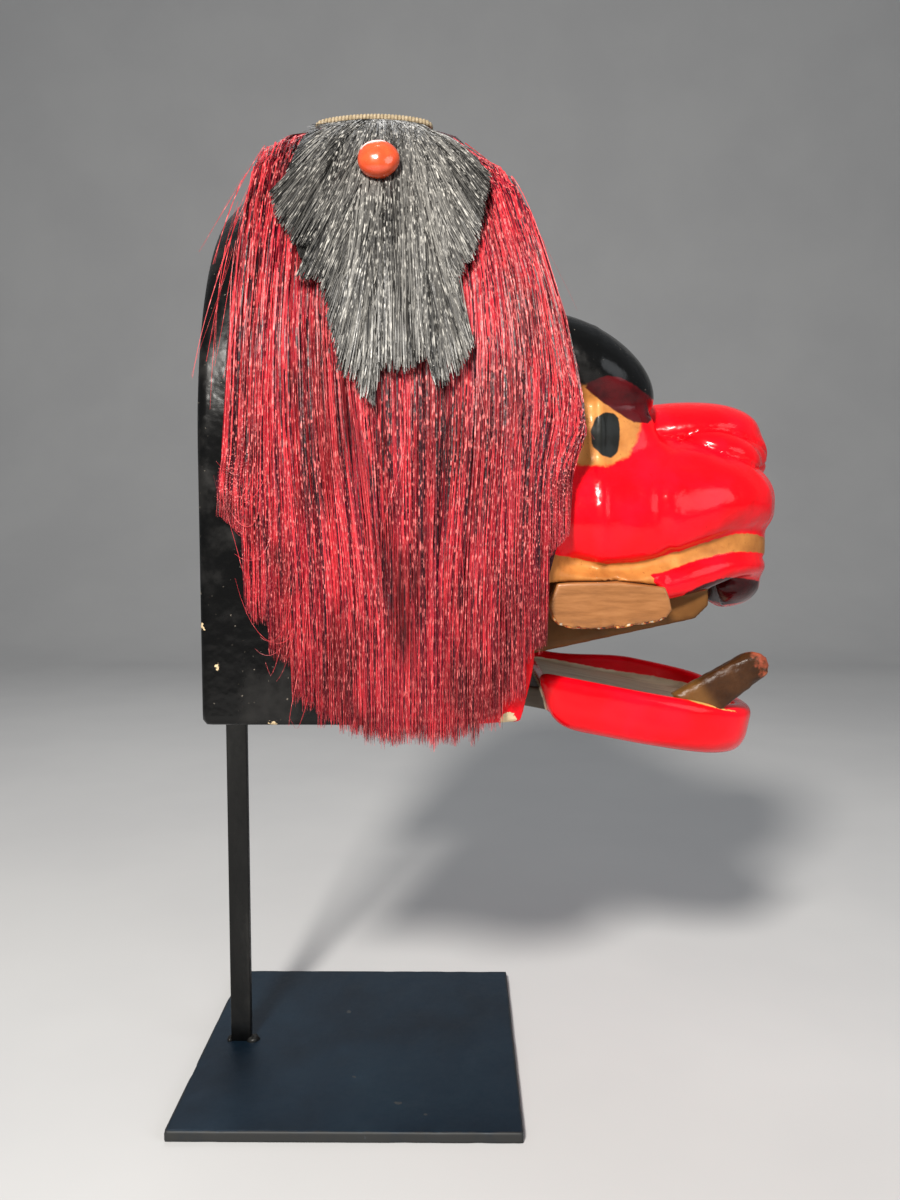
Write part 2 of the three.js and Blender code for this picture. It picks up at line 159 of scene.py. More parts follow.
def curve(xs, ys):
    """A smooth curve through points, as a function; flat slopes outside."""
    xs, ys = np.asarray(xs, float), np.asarray(ys, float)
    slopes = np.gradient(ys, xs)

    def at(x):
        x = np.clip(x, xs[0], xs[-1])
        i = np.clip(np.searchsorted(xs, x) - 1, 0, len(xs) - 2)
        h = xs[i + 1] - xs[i]
        t = (x - xs[i]) / h
        t2, t3 = t * t, t * t * t
        return ((2 * t3 - 3 * t2 + 1) * ys[i] + (t3 - 2 * t2 + t) * h * slopes[i]
                + (3 * t2 - 2 * t3) * ys[i + 1] + (t3 - t2) * h * slopes[i + 1])
    return at


def ripple(x, y, z, length, seed):
    """A soft three-way ripple between about -1 and 1, for hand carving."""
    r = np.random.default_rng(seed)
    out = 0.0
    for _ in range(6):
        k = r.normal(size=3)
        k *= 2 * math.pi / length * r.uniform(0.7, 1.4) / np.linalg.norm(k)
        out = out + np.sin(k[0] * x + k[1] * y + k[2] * z + r.uniform(0, 6.28))
    return out / 3.2


def polygon(px, pz, corners):
    """Signed distance to a closed outline, negative inside."""
    c = np.asarray(corners, float)
    best = np.full(np.shape(px), 1e9)
    inside = np.zeros(np.shape(px), bool)
    for (ax, az), (bx, bz) in zip(c, np.roll(c, -1, 0)):
        ex, ez = bx - ax, bz - az
        wx, wz = px - ax, pz - az
        t = clamp01((wx * ex + wz * ez) / (ex * ex + ez * ez))
        best = np.minimum(best, (wx - ex * t) ** 2 + (wz - ez * t) ** 2)
        crosses = (az > pz) != (bz > pz)
        rise = ez if ez else 1e-9
        inside ^= crosses & (px < ax + ex * (pz - az) / rise)
    return np.where(inside, -1, 1) * np.sqrt(best)


def ellipsoid(x, y, z, centre, radii, tilt=0.0):
    c, s = math.cos(math.radians(tilt)), math.sin(math.radians(tilt))
    dx, dy, dz = x - centre[0], y - centre[1], z - centre[2]
    lx, lz = dx * c - dz * s, dx * s + dz * c
    a, b, d = lx / radii[0], dy / radii[1], lz / radii[2]
    k0 = np.sqrt(a * a + b * b + d * d) + 1e-9
    k1 = np.sqrt((a / radii[0]) ** 2 + (b / radii[1]) ** 2 + (d / radii[2]) ** 2) + 1e-9
    return k0 * (k0 - 1) / k1


def superplan(x, y, half_width, front, start, power):
    """Distance to a plan outline: straight sides, then a superellipse nose."""
    reach = np.maximum(front - start, 5)
    a = np.abs(y) / half_width
    b = np.maximum(0, x - start) / reach
    k = (a ** power + b ** power) ** (1 / power) + 1e-9
    ga = (a / k) ** (power - 1) / half_width
    gb = (b / k) ** (power - 1) / reach
    return (k - 1) / np.sqrt(ga * ga + gb * gb + 1e-9)


# ---- meshes

def new_object(name, points, quads, tris=()):
    """A mesh object from points in millimetres and faces."""
    mesh = bpy.data.meshes.new(name)
    points = np.asarray(points, np.float32) * MM
    quads = np.asarray(quads, np.int32).reshape(-1, 4)
    tris = np.asarray(tris, np.int32).reshape(-1, 3)
    mesh.vertices.add(len(points))
    mesh.vertices.foreach_set("co", points.ravel())
    loops = np.concatenate([quads.ravel(), tris.ravel()])
    mesh.loops.add(len(loops))
    mesh.loops.foreach_set("vertex_index", loops)
    starts = np.concatenate([np.arange(len(quads)) * 4, len(quads) * 4 + np.arange(len(tris)) * 3])
    mesh.polygons.add(len(starts))
    mesh.polygons.foreach_set("loop_start", starts.astype(np.int32))
    mesh.polygons.foreach_set("use_smooth", np.ones(len(starts), bool))
    mesh.update(calc_edges=True)
    obj = bpy.data.objects.new(name, mesh)
    bpy.context.scene.collection.objects.link(obj)
    return obj


def set_values(obj, **fields):
    for name, values in fields.items():
        layer = obj.data.attributes.new(name, "FLOAT", "POINT")
        layer.data.foreach_set("value", np.asarray(values, np.float32))


def set_regions(obj, **fields):
    """Painted regions, as distances inside their edges."""
    set_values(obj, **{name: np.clip(field, -8, 8) for name, field in fields.items()})


def tube_faces(rows, cols):
    """Point numbers of the rings of a tube, and the faces between them."""
    grid = np.arange(rows * cols).reshape(rows, cols)
    nxt = np.roll(grid, -1, 1)
    return grid, np.stack([grid[:-1], nxt[:-1], nxt[1:], grid[1:]], -1).reshape(-1, 4)


def surface(field, xs, ys, zs, steps=3):
    """Points and quads of the field's zero surface on a box grid, pulled on to the true surface."""
    gx, gy, gz = np.meshgrid(xs, ys, zs, indexing="ij")
    v = field(gx, gy, gz)
    inside = v < 0
    n = np.array(v.shape) - 1
    corners = [(i, j, k) for i in (0, 1) for j in (0, 1) for k in (0, 1)]

    def corner(a, i, j, k):
        return a[i:n[0] + i, j:n[1] + j, k:n[2] + k]
    count = sum(corner(inside, *c).astype(np.int8) for c in corners)
    cells = np.argwhere((count > 0) & (count < 8))
    index = np.full(n, -1, np.int64)
    index[tuple(cells.T)] = np.arange(len(cells))
    total = np.zeros((len(cells), 3))
    hits = np.zeros(len(cells))
    for a in corners:
        for axis in range(3):
            if a[axis]:
                continue
            b = tuple(1 if q == axis else a[q] for q in range(3))
            ia, ib = cells + a, cells + b
            va, vb = v[tuple(ia.T)], v[tuple(ib.T)]
            cross = (va < 0) != (vb < 0)
            t = np.where(cross, va / np.where(cross, va - vb, 1), 0)
            pa, pb = (np.stack([xs[i[:, 0]], ys[i[:, 1]], zs[i[:, 2]]], 1) for i in (ia, ib))
            total += np.where(cross[:, None], pa + (pb - pa) * t[:, None], 0)
            hits += cross
    points = total / hits[:, None]
    quads = []
    for axis in range(3):
        one, two = (axis + 1) % 3, (axis + 2) % 3
        low = [slice(1, -1)] * 3
        high = [slice(1, -1)] * 3
        low[axis], high[axis] = slice(0, -1), slice(1, None)
        a, b = inside[tuple(low)], inside[tuple(high)]
        for flip in (False, True):
            edges = np.argwhere(a & ~b if not flip else ~a & b)
            edges[:, one] += 1
            edges[:, two] += 1
            ring = []
            for d1, d2 in ((0, 0), (1, 0), (1, 1), (0, 1)):
                c = edges.copy()
                c[:, one] -= d1
                c[:, two] -= d2
                ring.append(index[tuple(c.T)])
            face = np.stack(ring, 1)
            quads.append(face[:, ::-1] if flip else face)
    quads = np.concatenate(quads)
    quads = quads[(quads >= 0).all(1)]
    for _ in range(steps):
        x, y, z = points.T
        e = 0.15
        d = field(x, y, z)
        g = np.stack([field(x + e, y, z) - d, field(x, y + e, z) - d, field(x, y, z + e) - d], 1) / e
        step = d[:, None] * g / np.maximum((g * g).sum(1), 0.3)[:, None]
        size = np.linalg.norm(step, axis=1)
        points = points - step * np.minimum(1, 1.2 / np.maximum(size, 1e-9))[:, None]
    return points, quads


def graded(*stops):
    """Grid lines from stops (start, step), (start, step), ..., (end,)."""
    out = []
    for (a, step), nxt in zip(stops[:-1], stops[1:]):
        n = max(1, round((nxt[0] - a) / step))
        out.append(np.linspace(a, nxt[0], n, endpoint=False))
    return np.concatenate(out + [[stops[-1][0]]])


def mirrored(half):
    return np.concatenate([-half[::-1], half])


# ---- head

cheek_edge = curve(LIP_X, CHEEK_EDGE_Z)
gold_foot = curve(LIP_X, GOLD_FOOT_Z)
roll_foot = curve(LIP_X, ROLL_FOOT_Z)
band_half_width = curve(BAND_Z, BAND_HALF_WIDTH)
band_front = curve(BAND_Z, BAND_FRONT)
band_rise = curve(BAND_Z, BAND_RISE)

MOUTH = [(96, 210), (97, 237), (104, 266), (105, 300), (112, 311), (150, 312), (180, 308.5), (215, 315), (250, 325),
         (290, 327), (290, 210)]
RIDGE = [(102, 268), (198, 289), (206, 297), (204, 322), (100, 322)]


def crown_height(x):
    reach = np.where(x > CROWN_X, FOREHEAD_REACH, NAPE_REACH)
    return CROWN_RISE * np.sqrt(np.maximum(0, 1 - ((x - CROWN_X) / reach) ** 2))


def head_half_width(x):
    run = clamp01((x - PLAN_START_X) / (CROWN_X + FOREHEAD_REACH - PLAN_START_X))
    return HEAD_HALF_WIDTH * np.cbrt(1 - run ** 3)


def cranium(x, y, z, inset):
    front = CROWN_X + FOREHEAD_REACH - inset
    xc = np.minimum(x, front - 1.2)
    w = np.maximum(2, head_half_width(xc) - inset)
    h = np.maximum(2, crown_height(xc) - inset)
    ws = head_half_width(xc + 0.5) - head_half_width(xc - 0.5)
    hs = crown_height(xc + 0.5) - crown_height(xc - 0.5)
    up = np.maximum(0, z - SPRING_Z)
    f = np.sqrt((y / w) ** 2 + (up / h) ** 2) + 1e-9
    fx = ((y * y / w ** 3) * ws + (up * up / h ** 3) * hs) / f
    fy = y / (w * w * f)
    fz = up / (h * h * f)
    return np.maximum((f - 1) / np.sqrt(fx * fx + fy * fy + fz * fz + 1e-8), x - front)


def cheek_band(x, z):
    """Height of a point in the cheek's own bands, which rise along the lip."""
    shift = cheek_edge(x) - 315
    band = z - shift * band_rise(z)
    for _ in range(4):
        band = z - shift * band_rise(band)
    return band


def head_parts(x, y, z):
    """The face's carved forms, each as a distance."""
    ay = np.abs(y)
    parts = {}
    shell = cranium(x, y, z, 0)
    parts["shell"] = smax(smax(shell, HEAD_BOTTOM_Z - z, 3), BACK_X - x, 4)
    band = cheek_band(x, z)
    hw = np.maximum(band_half_width(band), 2)
    slope = (band_half_width(band + 1) - band_half_width(band - 1)) / 2
    lobe = superplan(x, y, hw, band_front(band) - 5, MUZZLE_START_X, MUZZLE_POWER) / np.sqrt(1 + slope ** 2)
    lobe = lobe + 0.6 * ripple(x, y, z, 46, 3) + 0.42 * ripple(x, y, z, 19, 4)
    lobe = smax(lobe, cheek_edge(x) - z, 5)
    parts["lobe"] = np.maximum(smax(lobe, band - 403, 3), MUZZLE_BACK_X - x)
    flare = 8.5 * smooth((cheek_edge(x) - 3 - z) / 8) * smooth((190 - x) / 20)
    wall = superplan(x, y, 77 + flare, 251, MUZZLE_START_X, MUZZLE_POWER)
    parts["wall"] = np.maximum(smax(wall, z - 350, 4), np.maximum(MUZZLE_BACK_X - x, 286 - z))
    half = (gold_foot(x) - roll_foot(x)) / 2
    middle = (gold_foot(x) + roll_foot(x)) / 2
    out = superplan(x, y, 77.5, 246, MUZZLE_START_X, MUZZLE_POWER)
    roll = (np.sqrt(((out + 3) / 8) ** 2 + ((z - middle) / half) ** 2) - 1) * np.minimum(half, 9)
    parts["roll"] = smax(roll, 0.9 * (ROLL_REAR_X - 7 - x + 0.5 * (310 - z)), 3)
    parts["nose"] = smin(ellipsoid(x, y, z, *NOSE), ellipsoid(x, y, z, *BRIDGE), 12)
    parts["wing"] = ellipsoid(x, ay, z, *WING)
    parts["core"] = ellipsoid(x, y, z, *CORE)
    parts["beak"] = ellipsoid(x, y, z, *BEAK)
    brow = ellipsoid(x, ay, z, *BROW)
    under = (ay - 77) * 0.93 - (z - 419) * 0.36
    parts["brow"] = smax(brow, under, 2.5)
    parts["eye"] = ellipsoid(x, ay, z, *EYE)
    return parts


def crease(a, b, width):
    """1 along the line where two forms meet, 0 away from it."""
    return np.exp(-((a - b) / width) ** 2)


def outside_of(parts):
    d = smin(parts["shell"], smin(parts["lobe"], parts["wall"], 2), 6)
    d = smin(d, parts["eye"], 9)
    snout = np.minimum(parts["nose"], parts["wing"])
    groove = 1.5 * crease(parts["nose"], parts["wing"], 1.4) + 1.3 * crease(snout, parts["lobe"], 1.5)
    d = smin(d, smin(smin(parts["nose"], parts["wing"], 4), parts["core"], 4), 3.5) + groove
    return smin(d, parts["brow"], 3.5)


def hollow_field(x, y, z):
    inner = cranium(x, y, z, WALL)
    band = cheek_band(x, z)
    hw = np.clip(band_half_width(band), 30, 76) - MUZZLE_WALL
    snout = superplan(x, y, hw, np.minimum(band_front(band), 240) - MUZZLE_WALL, MUZZLE_START_X, MUZZLE_POWER)
    snout = smax(snout, band - 366, 8)
    return smin(inner, np.maximum(snout, MUZZLE_BACK_X - x), 4)


def ridge_field(x, y, z):
    return smax(polygon(x, z, RIDGE), np.abs(np.abs(y) - 57) - 7, 2)


def head_field(x, y, z):
    parts = head_parts(x, y, z)
    d = outside_of(parts)
    d = smax(d, -polygon(x, z, MOUTH), 1.5)
    d = smin(d, smin(parts["roll"], parts["beak"], 7), 2)
    d = smax(d, -hollow_field(x, y, z), 2.5)
    d = smin(d, ridge_field(x, y, z), 1.5)
    hole = np.hypot(x - PIVOT_X, z - PIVOT_Z) - 5.4
    return np.maximum(d, -hole)


EYE_GOLD = [(98, 398), (110, 384), (124, 376.5), (136, 374.2), (147, 375.5), (157, 379.7), (162, 386), (164.5, 394.5),
            (166, 403), (153, 408), (140, 415), (134, 418.5), (118, 417), (104, 412)]
PUPIL = [(144, 404), (139, 401), (136.2, 394), (136.9, 386), (142, 380.4), (147.5, 378.8), (151.5, 382), (152.8, 391),
         (152.3, 401), (149, 404)]
WINE = [(132, 418), (138, 421.5), (145, 423.5), (153, 422.5), (160, 419.5), (168, 416), (174, 414), (176.5, 411),
        (175, 404), (170, 399), (161, 399), (153, 403.5), (144, 409), (137, 414)]
# Outline of the painted shade, in very dark red, on the beak under the lip.
UNDER_LIP_SHADE = [(186, 290), (190, 304), (200, 309), (214, 313), (232, 311), (245, 308.5), (246.5, 301), (239, 296.5),
             (226, 294), (205, 286)]
CHIPS = [(-71, -112, 289, 2.6), (-63, -112, 268, 2.2), (-34, -112, 237.5, 3.0), (90, -104, 238.5, 5.0),
         (255, 0, 350, 2.0), (-71, -100, 424, 2.0), (-20, 112, 238, 3.2), (-71, 111, 300, 3.0), (60, 110, 237.5, 2.5),
         (-71, 60, 492, 2.4)]


def make_head():
    xs = graded((-75, 3.6), (92, 2.0), (260,))
    ys = mirrored(graded((1.0, 2.0), (92, 2.3), (116,)))
    zs = graded((233, 2.7), (284, 2.0), (432, 2.7), (476, 3.6), (574,))
    points, quads = surface(head_field, xs, ys, zs)
    obj = new_object("lion_head", points, quads)
    x, y, z = points.T
    ay = np.abs(y)
    parts = head_parts(x, y, z)
    outside = outside_of(parts)
    rest = np.minimum.reduce([parts["lobe"], parts["nose"], parts["wing"], parts["eye"], parts["shell"]])
    on_brow = rest - parts["brow"]
    back = np.interp(z, [237, 262, 300, 340, 380, 400, 421], [70, 80, 92, 100, 104, 118, 132])
    red = np.minimum(np.minimum(x - back, 421 - z), np.where((x > 172) & (z < 414), 8, -on_brow - 0.5))
    before_roll = x < ROLL_REAR_X - 7 + 0.5 * (310 - z)
    band = np.minimum(cheek_edge(x) - 0.6 - z, z - np.where(before_roll, 296, gold_foot(x)))
    band = np.where(outside > -9, np.minimum(band, x - 95), -9)
    eye = np.where(ay > 30, -0.4 * polygon(x, z, EYE_GOLD), -9)
    # The ridge is gilded; the same mask later darkens it with painted shade.
    ridge = 0.9 - ridge_field(x, y, z)
    ridge = np.minimum.reduce([ridge, 314 - z, 66 - ay, x - 98])
    gold = np.maximum(np.maximum(band, eye), ridge)
    # Very dark red: the brow's underside is painted in it, and inside the muzzle and on the beak under the lip it is
    # painted shade.
    wine = np.where((ay > 30) & (outside > -6), -polygon(x, z, WINE), -9)
    inner = -outside - 11
    wine = np.maximum(wine, np.minimum(inner, np.minimum(x - 118, 6)))
    wine = np.maximum(wine, np.minimum(-polygon(x, z, UNDER_LIP_SHADE), np.where(z < 313, 4, 3 - parts["beak"])))
    wine = np.minimum(wine, -ridge)
    wood = np.minimum(inner, np.minimum(118 - x, -ridge))
    pupil = np.where(ay > 30, -polygon(x, z, PUPIL), -9)
    chip = np.max([r - np.sqrt((x - cx) ** 2 + (y - cy) ** 2 + (z - cz) ** 2) for cx, cy, cz, r in CHIPS], axis=0)
    set_regions(obj, red=red, gold=gold, wine=wine, wood=wood, pupil=pupil, chip=chip, ridge=ridge)
    return obj


# ---- lower jaw

FANG_SIDE = [(-8, -16), (42, -11), (46.5, -9.5), (49.5, -6.5), (51, -2), (49.5, 2.5), (46, 6.2), (40, 8), (-8, 12)]
FANG_PLACE = (138.0, -47.5, 17.0)
FANG_HALF = 6.5


def jaw_plan(x, y, inset):
    return superplan(x, y, JAW_HALF_WIDTH - inset, JAW_FRONT - inset, JAW_START_X, JAW_POWER)


def jaw_outer(x, y, z):
    body = jaw_plan(x, y, 0) + 0.35 * ripple(x, y, z, 40, 8)
    rear = (JAW_REAR_TOP + 0.5 * (JAW_RIM_Z - z) - x) * 0.89
    body = smax(body, rear, 7)
    body = smax(body, JAW_BOTTOM_Z - z, 15)
    rim = JAW_RIM_Z + 7 * smooth((x - 60) / 60) * smooth((y - 10) / 40)
    return smax(body, z - rim, 7)


def trough(x, y, z):
    return smax(smax(jaw_plan(x, y, JAW_WALL), JAW_FLOOR_Z - z, 4), 18 - x, 1)


def jaw_field(x, y, z):
    d = smax(jaw_outer(x, y, z), -trough(x, y, z), 3.5)
    tail = smax(np.maximum(np.abs(x - 35) - 35, np.abs(z - 3) - 6), np.abs(y) - JAW_TAIL_HALF_WIDTH, 2)
    knuckle = smax(np.hypot(x, z) - KNUCKLE_RADIUS, np.abs(y) - JAW_TAIL_HALF_WIDTH, 2)
    d = smin(d, smin(tail, knuckle, 3), 2)
    return np.maximum(d, PIVOT_HOLE_RADIUS - np.hypot(x, z))


def from_jaw(points):
    c, s = math.cos(math.radians(JAW_OPEN_DEG)), math.sin(math.radians(JAW_OPEN_DEG))
    x, y, z = points.T
    return np.stack([x * c + z * s + PIVOT_X, y, z * c - x * s + PIVOT_Z], 1)


def make_jaw():
    xs = graded((-12, 2.2), (190,))
    ys = mirrored(graded((1.0, 2.0), (70,)))
    zs = graded((-15, 1.8), (30,))
    points, quads = surface(jaw_field, xs, ys, zs)
    obj = new_object("lion_lower_jaw", from_jaw(points), quads)
    x, y, z = points.T
    depth = -jaw_outer(x, y, z)
    # Bare wood on the floor, the near rim's top and the tail; jaw_paint gives it painted sunlight.
    floor = np.minimum(JAW_FLOOR_Z + 2.2 + 3 * smooth((x - 90) / 70) - z, depth - 3.8)
    near = np.minimum(np.minimum(-y - 30, depth - 1.5), np.minimum(x - 52, z - 10))
    tail = JAW_REAR_TOP - x + 0.5 * (JAW_RIM_Z - z)
    wood = np.maximum.reduce([floor, near, tail])
    line = 0.45 - np.abs(z - 20.0 + 0.105 * (x - 128))
    line = np.where((y < -30) & (x > 130) & (x < 166) & (depth < 2), line, -9)
    # dark marks the tail for painted shade.
    set_regions(obj, wood=wood, line=line, dark=tail - 1)
    return obj


def fang_field(x, y, z):
    side = polygon(x, z, FANG_SIDE)
    bite = 0.5 * ripple(x, y, z, 9, 21) * smooth((x - 20) / 25) + 0.2 * ripple(x, y, z, 5, 22)
    return smax(side + 0.8, np.abs(y) - FANG_HALF + 0.4, 5.5) + bite


def make_fang():
    points, quads = surface(fang_field, graded((-11, 1.1), (54,)), graded((-8.5, 1.0), (8.5,)),
                            graded((-19, 1.1), (14,)))
    x, y, z = points.T
    r = math.sqrt(0.5)
    placed = np.stack([(x - z) * r + FANG_PLACE[0], y + FANG_PLACE[1], (x + z) * r + FANG_PLACE[2]], 1)
    obj = new_object("lower_fang_carved", from_jaw(placed), quads)
    arris = 3 - np.abs(polygon(x, z, FANG_SIDE) + 0.6) - np.abs(np.abs(y) - FANG_HALF + 0.4)
    set_values(obj, arris=np.clip(arris, -8, 8), tip=np.clip((x - 36) / 10, -1, 1.5), root=np.clip((14 - x) / 6, -1, 2))
    return obj


TOOTH_SIDE = [(117, 311), (150, 311.8), (176, 308.6), (178.5, 302), (180, 296), (177, 291.5), (172, 289), (150, 285.5),
              (126, 285), (118, 287.5), (115, 290), (112, 299)]


def tooth_field(x, y, z):
    side = polygon(x, z, TOOTH_SIDE)
    low = smooth((293 - z) / 7)
    bite = low * (0.9 * np.maximum(0, ripple(x, y, z, 7, 31)) + 0.5 * np.maximum(0, ripple(x, y, z, 3.4, 32)))
    return smax(side + 0.3, np.abs(y - 83.5) - 5.2, 1.2) + bite + 0.15 * ripple(x, y, z, 12, 33)


def make_tooth(name, side):
    points, quads = surface(tooth_field, graded((109, 1.25), (183,)), graded((76, 1.1), (91,)),
                            graded((282, 1.1), (314,)))
    x, y, z = points.T
    obj = new_object(name, points * (1, side, 1), quads if side > 0 else quads[:, ::-1])
    inside = -polygon(x, z, TOOTH_SIDE)
    set_values(obj, edge=np.clip(3.4 - inside, -8, 8) * smooth((296 - z) / 6))
    return obj


# ---- hair

def mane_x(u, s):
    top = lerp(*MANE_TOP_X, u)
    side = lerp(*MANE_SIDE_X, u)
    return lerp(top, side, np.sin(math.pi / 2 * clamp01(s / MANE_ARCH_SHARE)) ** 0.6)


def hem_z(u):
    x = lerp(*MANE_SIDE_X, u)
    behind = x < MANE_HEM_X
    share = np.abs(x - MANE_HEM_X) / np.where(behind, 99, 84)
    return MANE_HEM_Z + MANE_HEM_RISE * share ** np.where(behind, 3.5, 4.0)


def over_head(side, u, s, lift, hem=None):
    """Points over the head, and the way out from it, at place u along the band and share s of the way down."""
    u, s, lift = np.broadcast_arrays(u, s, lift)
    inside_u = clamp01(u)
    x = mane_x(u, s)
    down = clamp01(s / MANE_ARCH_SHARE)
    angle = math.pi / 2 * (1 - down)
    width = head_half_width(x)
    half = lerp(width, np.maximum(width, MANE_LEAST_HALF_WIDTH), smooth(down))
    rise = crown_height(x)
    fall = np.maximum(0, (s - MANE_ARCH_SHARE) / (1 - MANE_ARCH_SHARE))
    ny, nz = np.cos(angle) / half, np.sin(angle) / np.maximum(rise, 1)
    size = np.hypot(ny, nz)
    ny, nz = ny / size, nz / size
    y = half * np.cos(angle) + lift * ny
    z = SPRING_Z + rise * np.sin(angle) + lift * nz
    point = np.stack([x, side * y, lerp(z, hem_z(inside_u) if hem is None else hem, fall)], -1)
    return point, np.stack([np.zeros_like(x), side * ny, nz], -1)


def swell(s):
    """Hair lies flat under the tape and fills out below it."""
    return lerp(0.5, 1, smooth(s / 0.28))


def gathered(u, s, lift):
    """The lift of hair on the crown, where it is gathered up to the underside of the tape."""
    x = mane_x(clamp01(u), s)
    rise = TAPE_RISE * (1 - ((x - TAPE_MIDDLE_X) / TAPE_HALF_LENGTH) ** 2)
    under = TAPE_END_Z - 3.2 + rise - SPRING_Z - crown_height(x)
    return lerp(lift, under, smooth((0.115 - s) / 0.095))


def mane_body(u, s):
    inner = smooth(5 * np.minimum(u, 1 - u))
    shoulder = 16 * (1 - inner) * np.sin(math.pi * clamp01(s / MANE_ARCH_SHARE)) ** 2
    bump = np.where(u < 0.5, 7 * np.exp(-((s - 0.15) / 0.09) ** 2), 9 * np.exp(-((s - 0.21) / 0.09) ** 2))
    shoulder = shoulder + bump * smooth(1 - 3.2 * np.minimum(u, 1 - u))
    root = lerp(0.6, 1, smooth(s / 0.2)) * swell(s)
    hem = 1 - 0.5 * smooth((s - 0.8) / 0.2)
    return (lerp(4, 9, inner) * root + shoulder) * hem


def parting(u, s):
    """1 on the floor of the two partings low on the mane, 0 away from them; they lie lower and carry painted shade."""
    left = lerp(0.33, 0.53, smooth((s - 0.5) / 0.38))
    right = lerp(0.66, 0.55, smooth((s - 0.52) / 0.36))
    window = smooth((s - 0.46) / 0.14) * smooth((0.97 - s) / 0.12)
    return window * np.maximum(np.exp(-((u - left) / 0.05) ** 2), 0.6 * np.exp(-((u - right) / 0.04) ** 2))


def ribbons(name, paths, outs, widths, roll, **fields):
    """Fine flat hairs along paths (hairs, rings, 3), each turned a little about its own length."""
    count, rings, _ = paths.shape
    along = np.gradient(paths, axis=1)
    along /= np.maximum(np.linalg.norm(along, axis=2, keepdims=True), 1e-9)
    across = np.cross(along, outs)
    across /= np.maximum(np.linalg.norm(across, axis=2, keepdims=True), 1e-9)
    out = np.cross(across, along)
    turn = across * np.cos(roll)[..., None] + out * np.sin(roll)[..., None]
    turn = turn * widths[..., None]
    ring = np.stack([paths + turn, paths - turn], 2)
    base = (np.arange(count * rings).reshape(count, rings) * 2)[:, :-1].ravel()
    quads = np.stack([base, base + 2, base + 3, base + 1], 1)
    obj = new_object(name, ring.reshape(-1, 3), quads)
    set_values(obj, **{k: np.repeat(np.broadcast_to(v, (count, rings)).reshape(-1), 2) for k, v in fields.items()})
    return obj


def make_mane(name, side, count, seed):
    r = np.random.default_rng(seed)
    rings = 9
    t = np.linspace(0, 1, rings)[None, :]
    clumps = 260
    clump_u = np.sort((np.arange(clumps) + r.uniform(0.1, 0.9, clumps)) / clumps)
    u0 = (np.arange(count) + r.uniform(0, 1, count)) / count
    r.shuffle(u0)
    mine = np.abs(u0[:, None] - clump_u[None, :]).argmin(1)
    clump_lift = r.normal(0, 0.5, clumps)[mine]
    clump_end = r.normal(0, 0.007, clumps)[mine]
    clump_sway = r.normal(0, 0.008, clumps)[mine]
    depth = r.uniform(0, 1, count) ** 0.6
    start = np.where(r.uniform(size=count) < 0.5, MANE_START, r.uniform(0.05, 0.62, count))
    end = 1 - np.abs(r.normal(0, 0.018, count)) + clump_end
    end = np.where(r.uniform(size=count) < 0.2, end - r.uniform(0, 0.14, count), end)
    s = lerp(start[:, None], end[:, None], t)
    pull = 0.3 * smooth((s - 0.1) / 0.8)
    u = lerp(u0[:, None], clump_u[mine][:, None], pull)
    u = u + clump_sway[:, None] * np.sin(2.2 * s + 6 * clump_u[mine][:, None]) * smooth(s / 0.3)
    sweep = 0.075 * np.exp(-((u0[:, None] - 0.32) / 0.13) ** 2) - 0.05 * np.exp(-((u0[:, None] - 0.72) / 0.1) ** 2)
    u = u + sweep * smooth((s - 0.45) / 0.42) + r.normal(0, 0.006, (count, 1)) * s
    u = u + 0.004 * np.sin(9 * s + r.uniform(0, 6.28, (count, 1))) * smooth(s / 0.4)
    u = u + 0.045 * smooth((u - 0.75) / 0.25) * smooth((s - 0.15) / 0.25) * smooth((0.67 - s) / 0.12)
    u = u + 0.03 * smooth((0.2 - u) / 0.2) * smooth((s - 0.2) / 0.15) * smooth((0.85 - s) / 0.45)
    held = clamp01(u)
    thick = mane_body(held, s) + 1.2 * np.abs(np.sin(7 * math.pi * held)) * smooth(3 * s)
    lift = MANE_GAP + thick * lerp(0.35, 1.0, depth[:, None]) + clump_lift[:, None] * smooth(s / 0.3)
    lift = lift - 0.62 * thick * parting(held, s) * depth[:, None]
    frayed = 2.2 * smooth((t - 0.8) / 0.2) * r.uniform(0, 1, (count, 1))
    lift = np.maximum(lift + r.normal(0, 0.5, (count, 1)) * swell(s) + frayed, 1.2)
    lift = gathered(held, s, lift) - 1.5 * (1 - depth[:, None]) * smooth((0.1 - s) / 0.05)
    border = smooth((0.05 - np.minimum(held, 1 - held)) / 0.03)
    lift = lerp(lift, MANE_GAP + (lift - MANE_GAP) * depth[:, None] ** 1.6, border)
    lock = np.floor(15 * held[:, -1:])
    hem = hem_z(lerp(held[:, -1:], (lock + 0.5 + 0.2 * np.sin(2.4 * lock)) / 15, 0.8))
    points, outs = over_head(side, u, s, lift, hem)
    width = r.uniform(0.22, 0.38, (count, 1)) * (1 - 0.8 * t ** 5)
    # Painted shade: deeper hairs, the two partings and broad waves across the mane are darkened.
    wave = ripple(180 * held, 330 * s, 0 * s, 70, seed)
    shade = depth[:, None] * (1 - 0.75 * parting(held, s)) * (1 - 0.3 * clamp01(wave))
    tint = clamp01(r.uniform(size=(count, 1)) + r.normal(0, 0.12, (count, rings)))
    roll = r.normal(0, 0.6, (count, 1)) + r.normal(0, 0.3, (count, rings))
    return ribbons(name, points, outs, width, roll, tint=tint, depth=shade, place=held, along=s,
                   strand=r.uniform(size=(count, 1)))


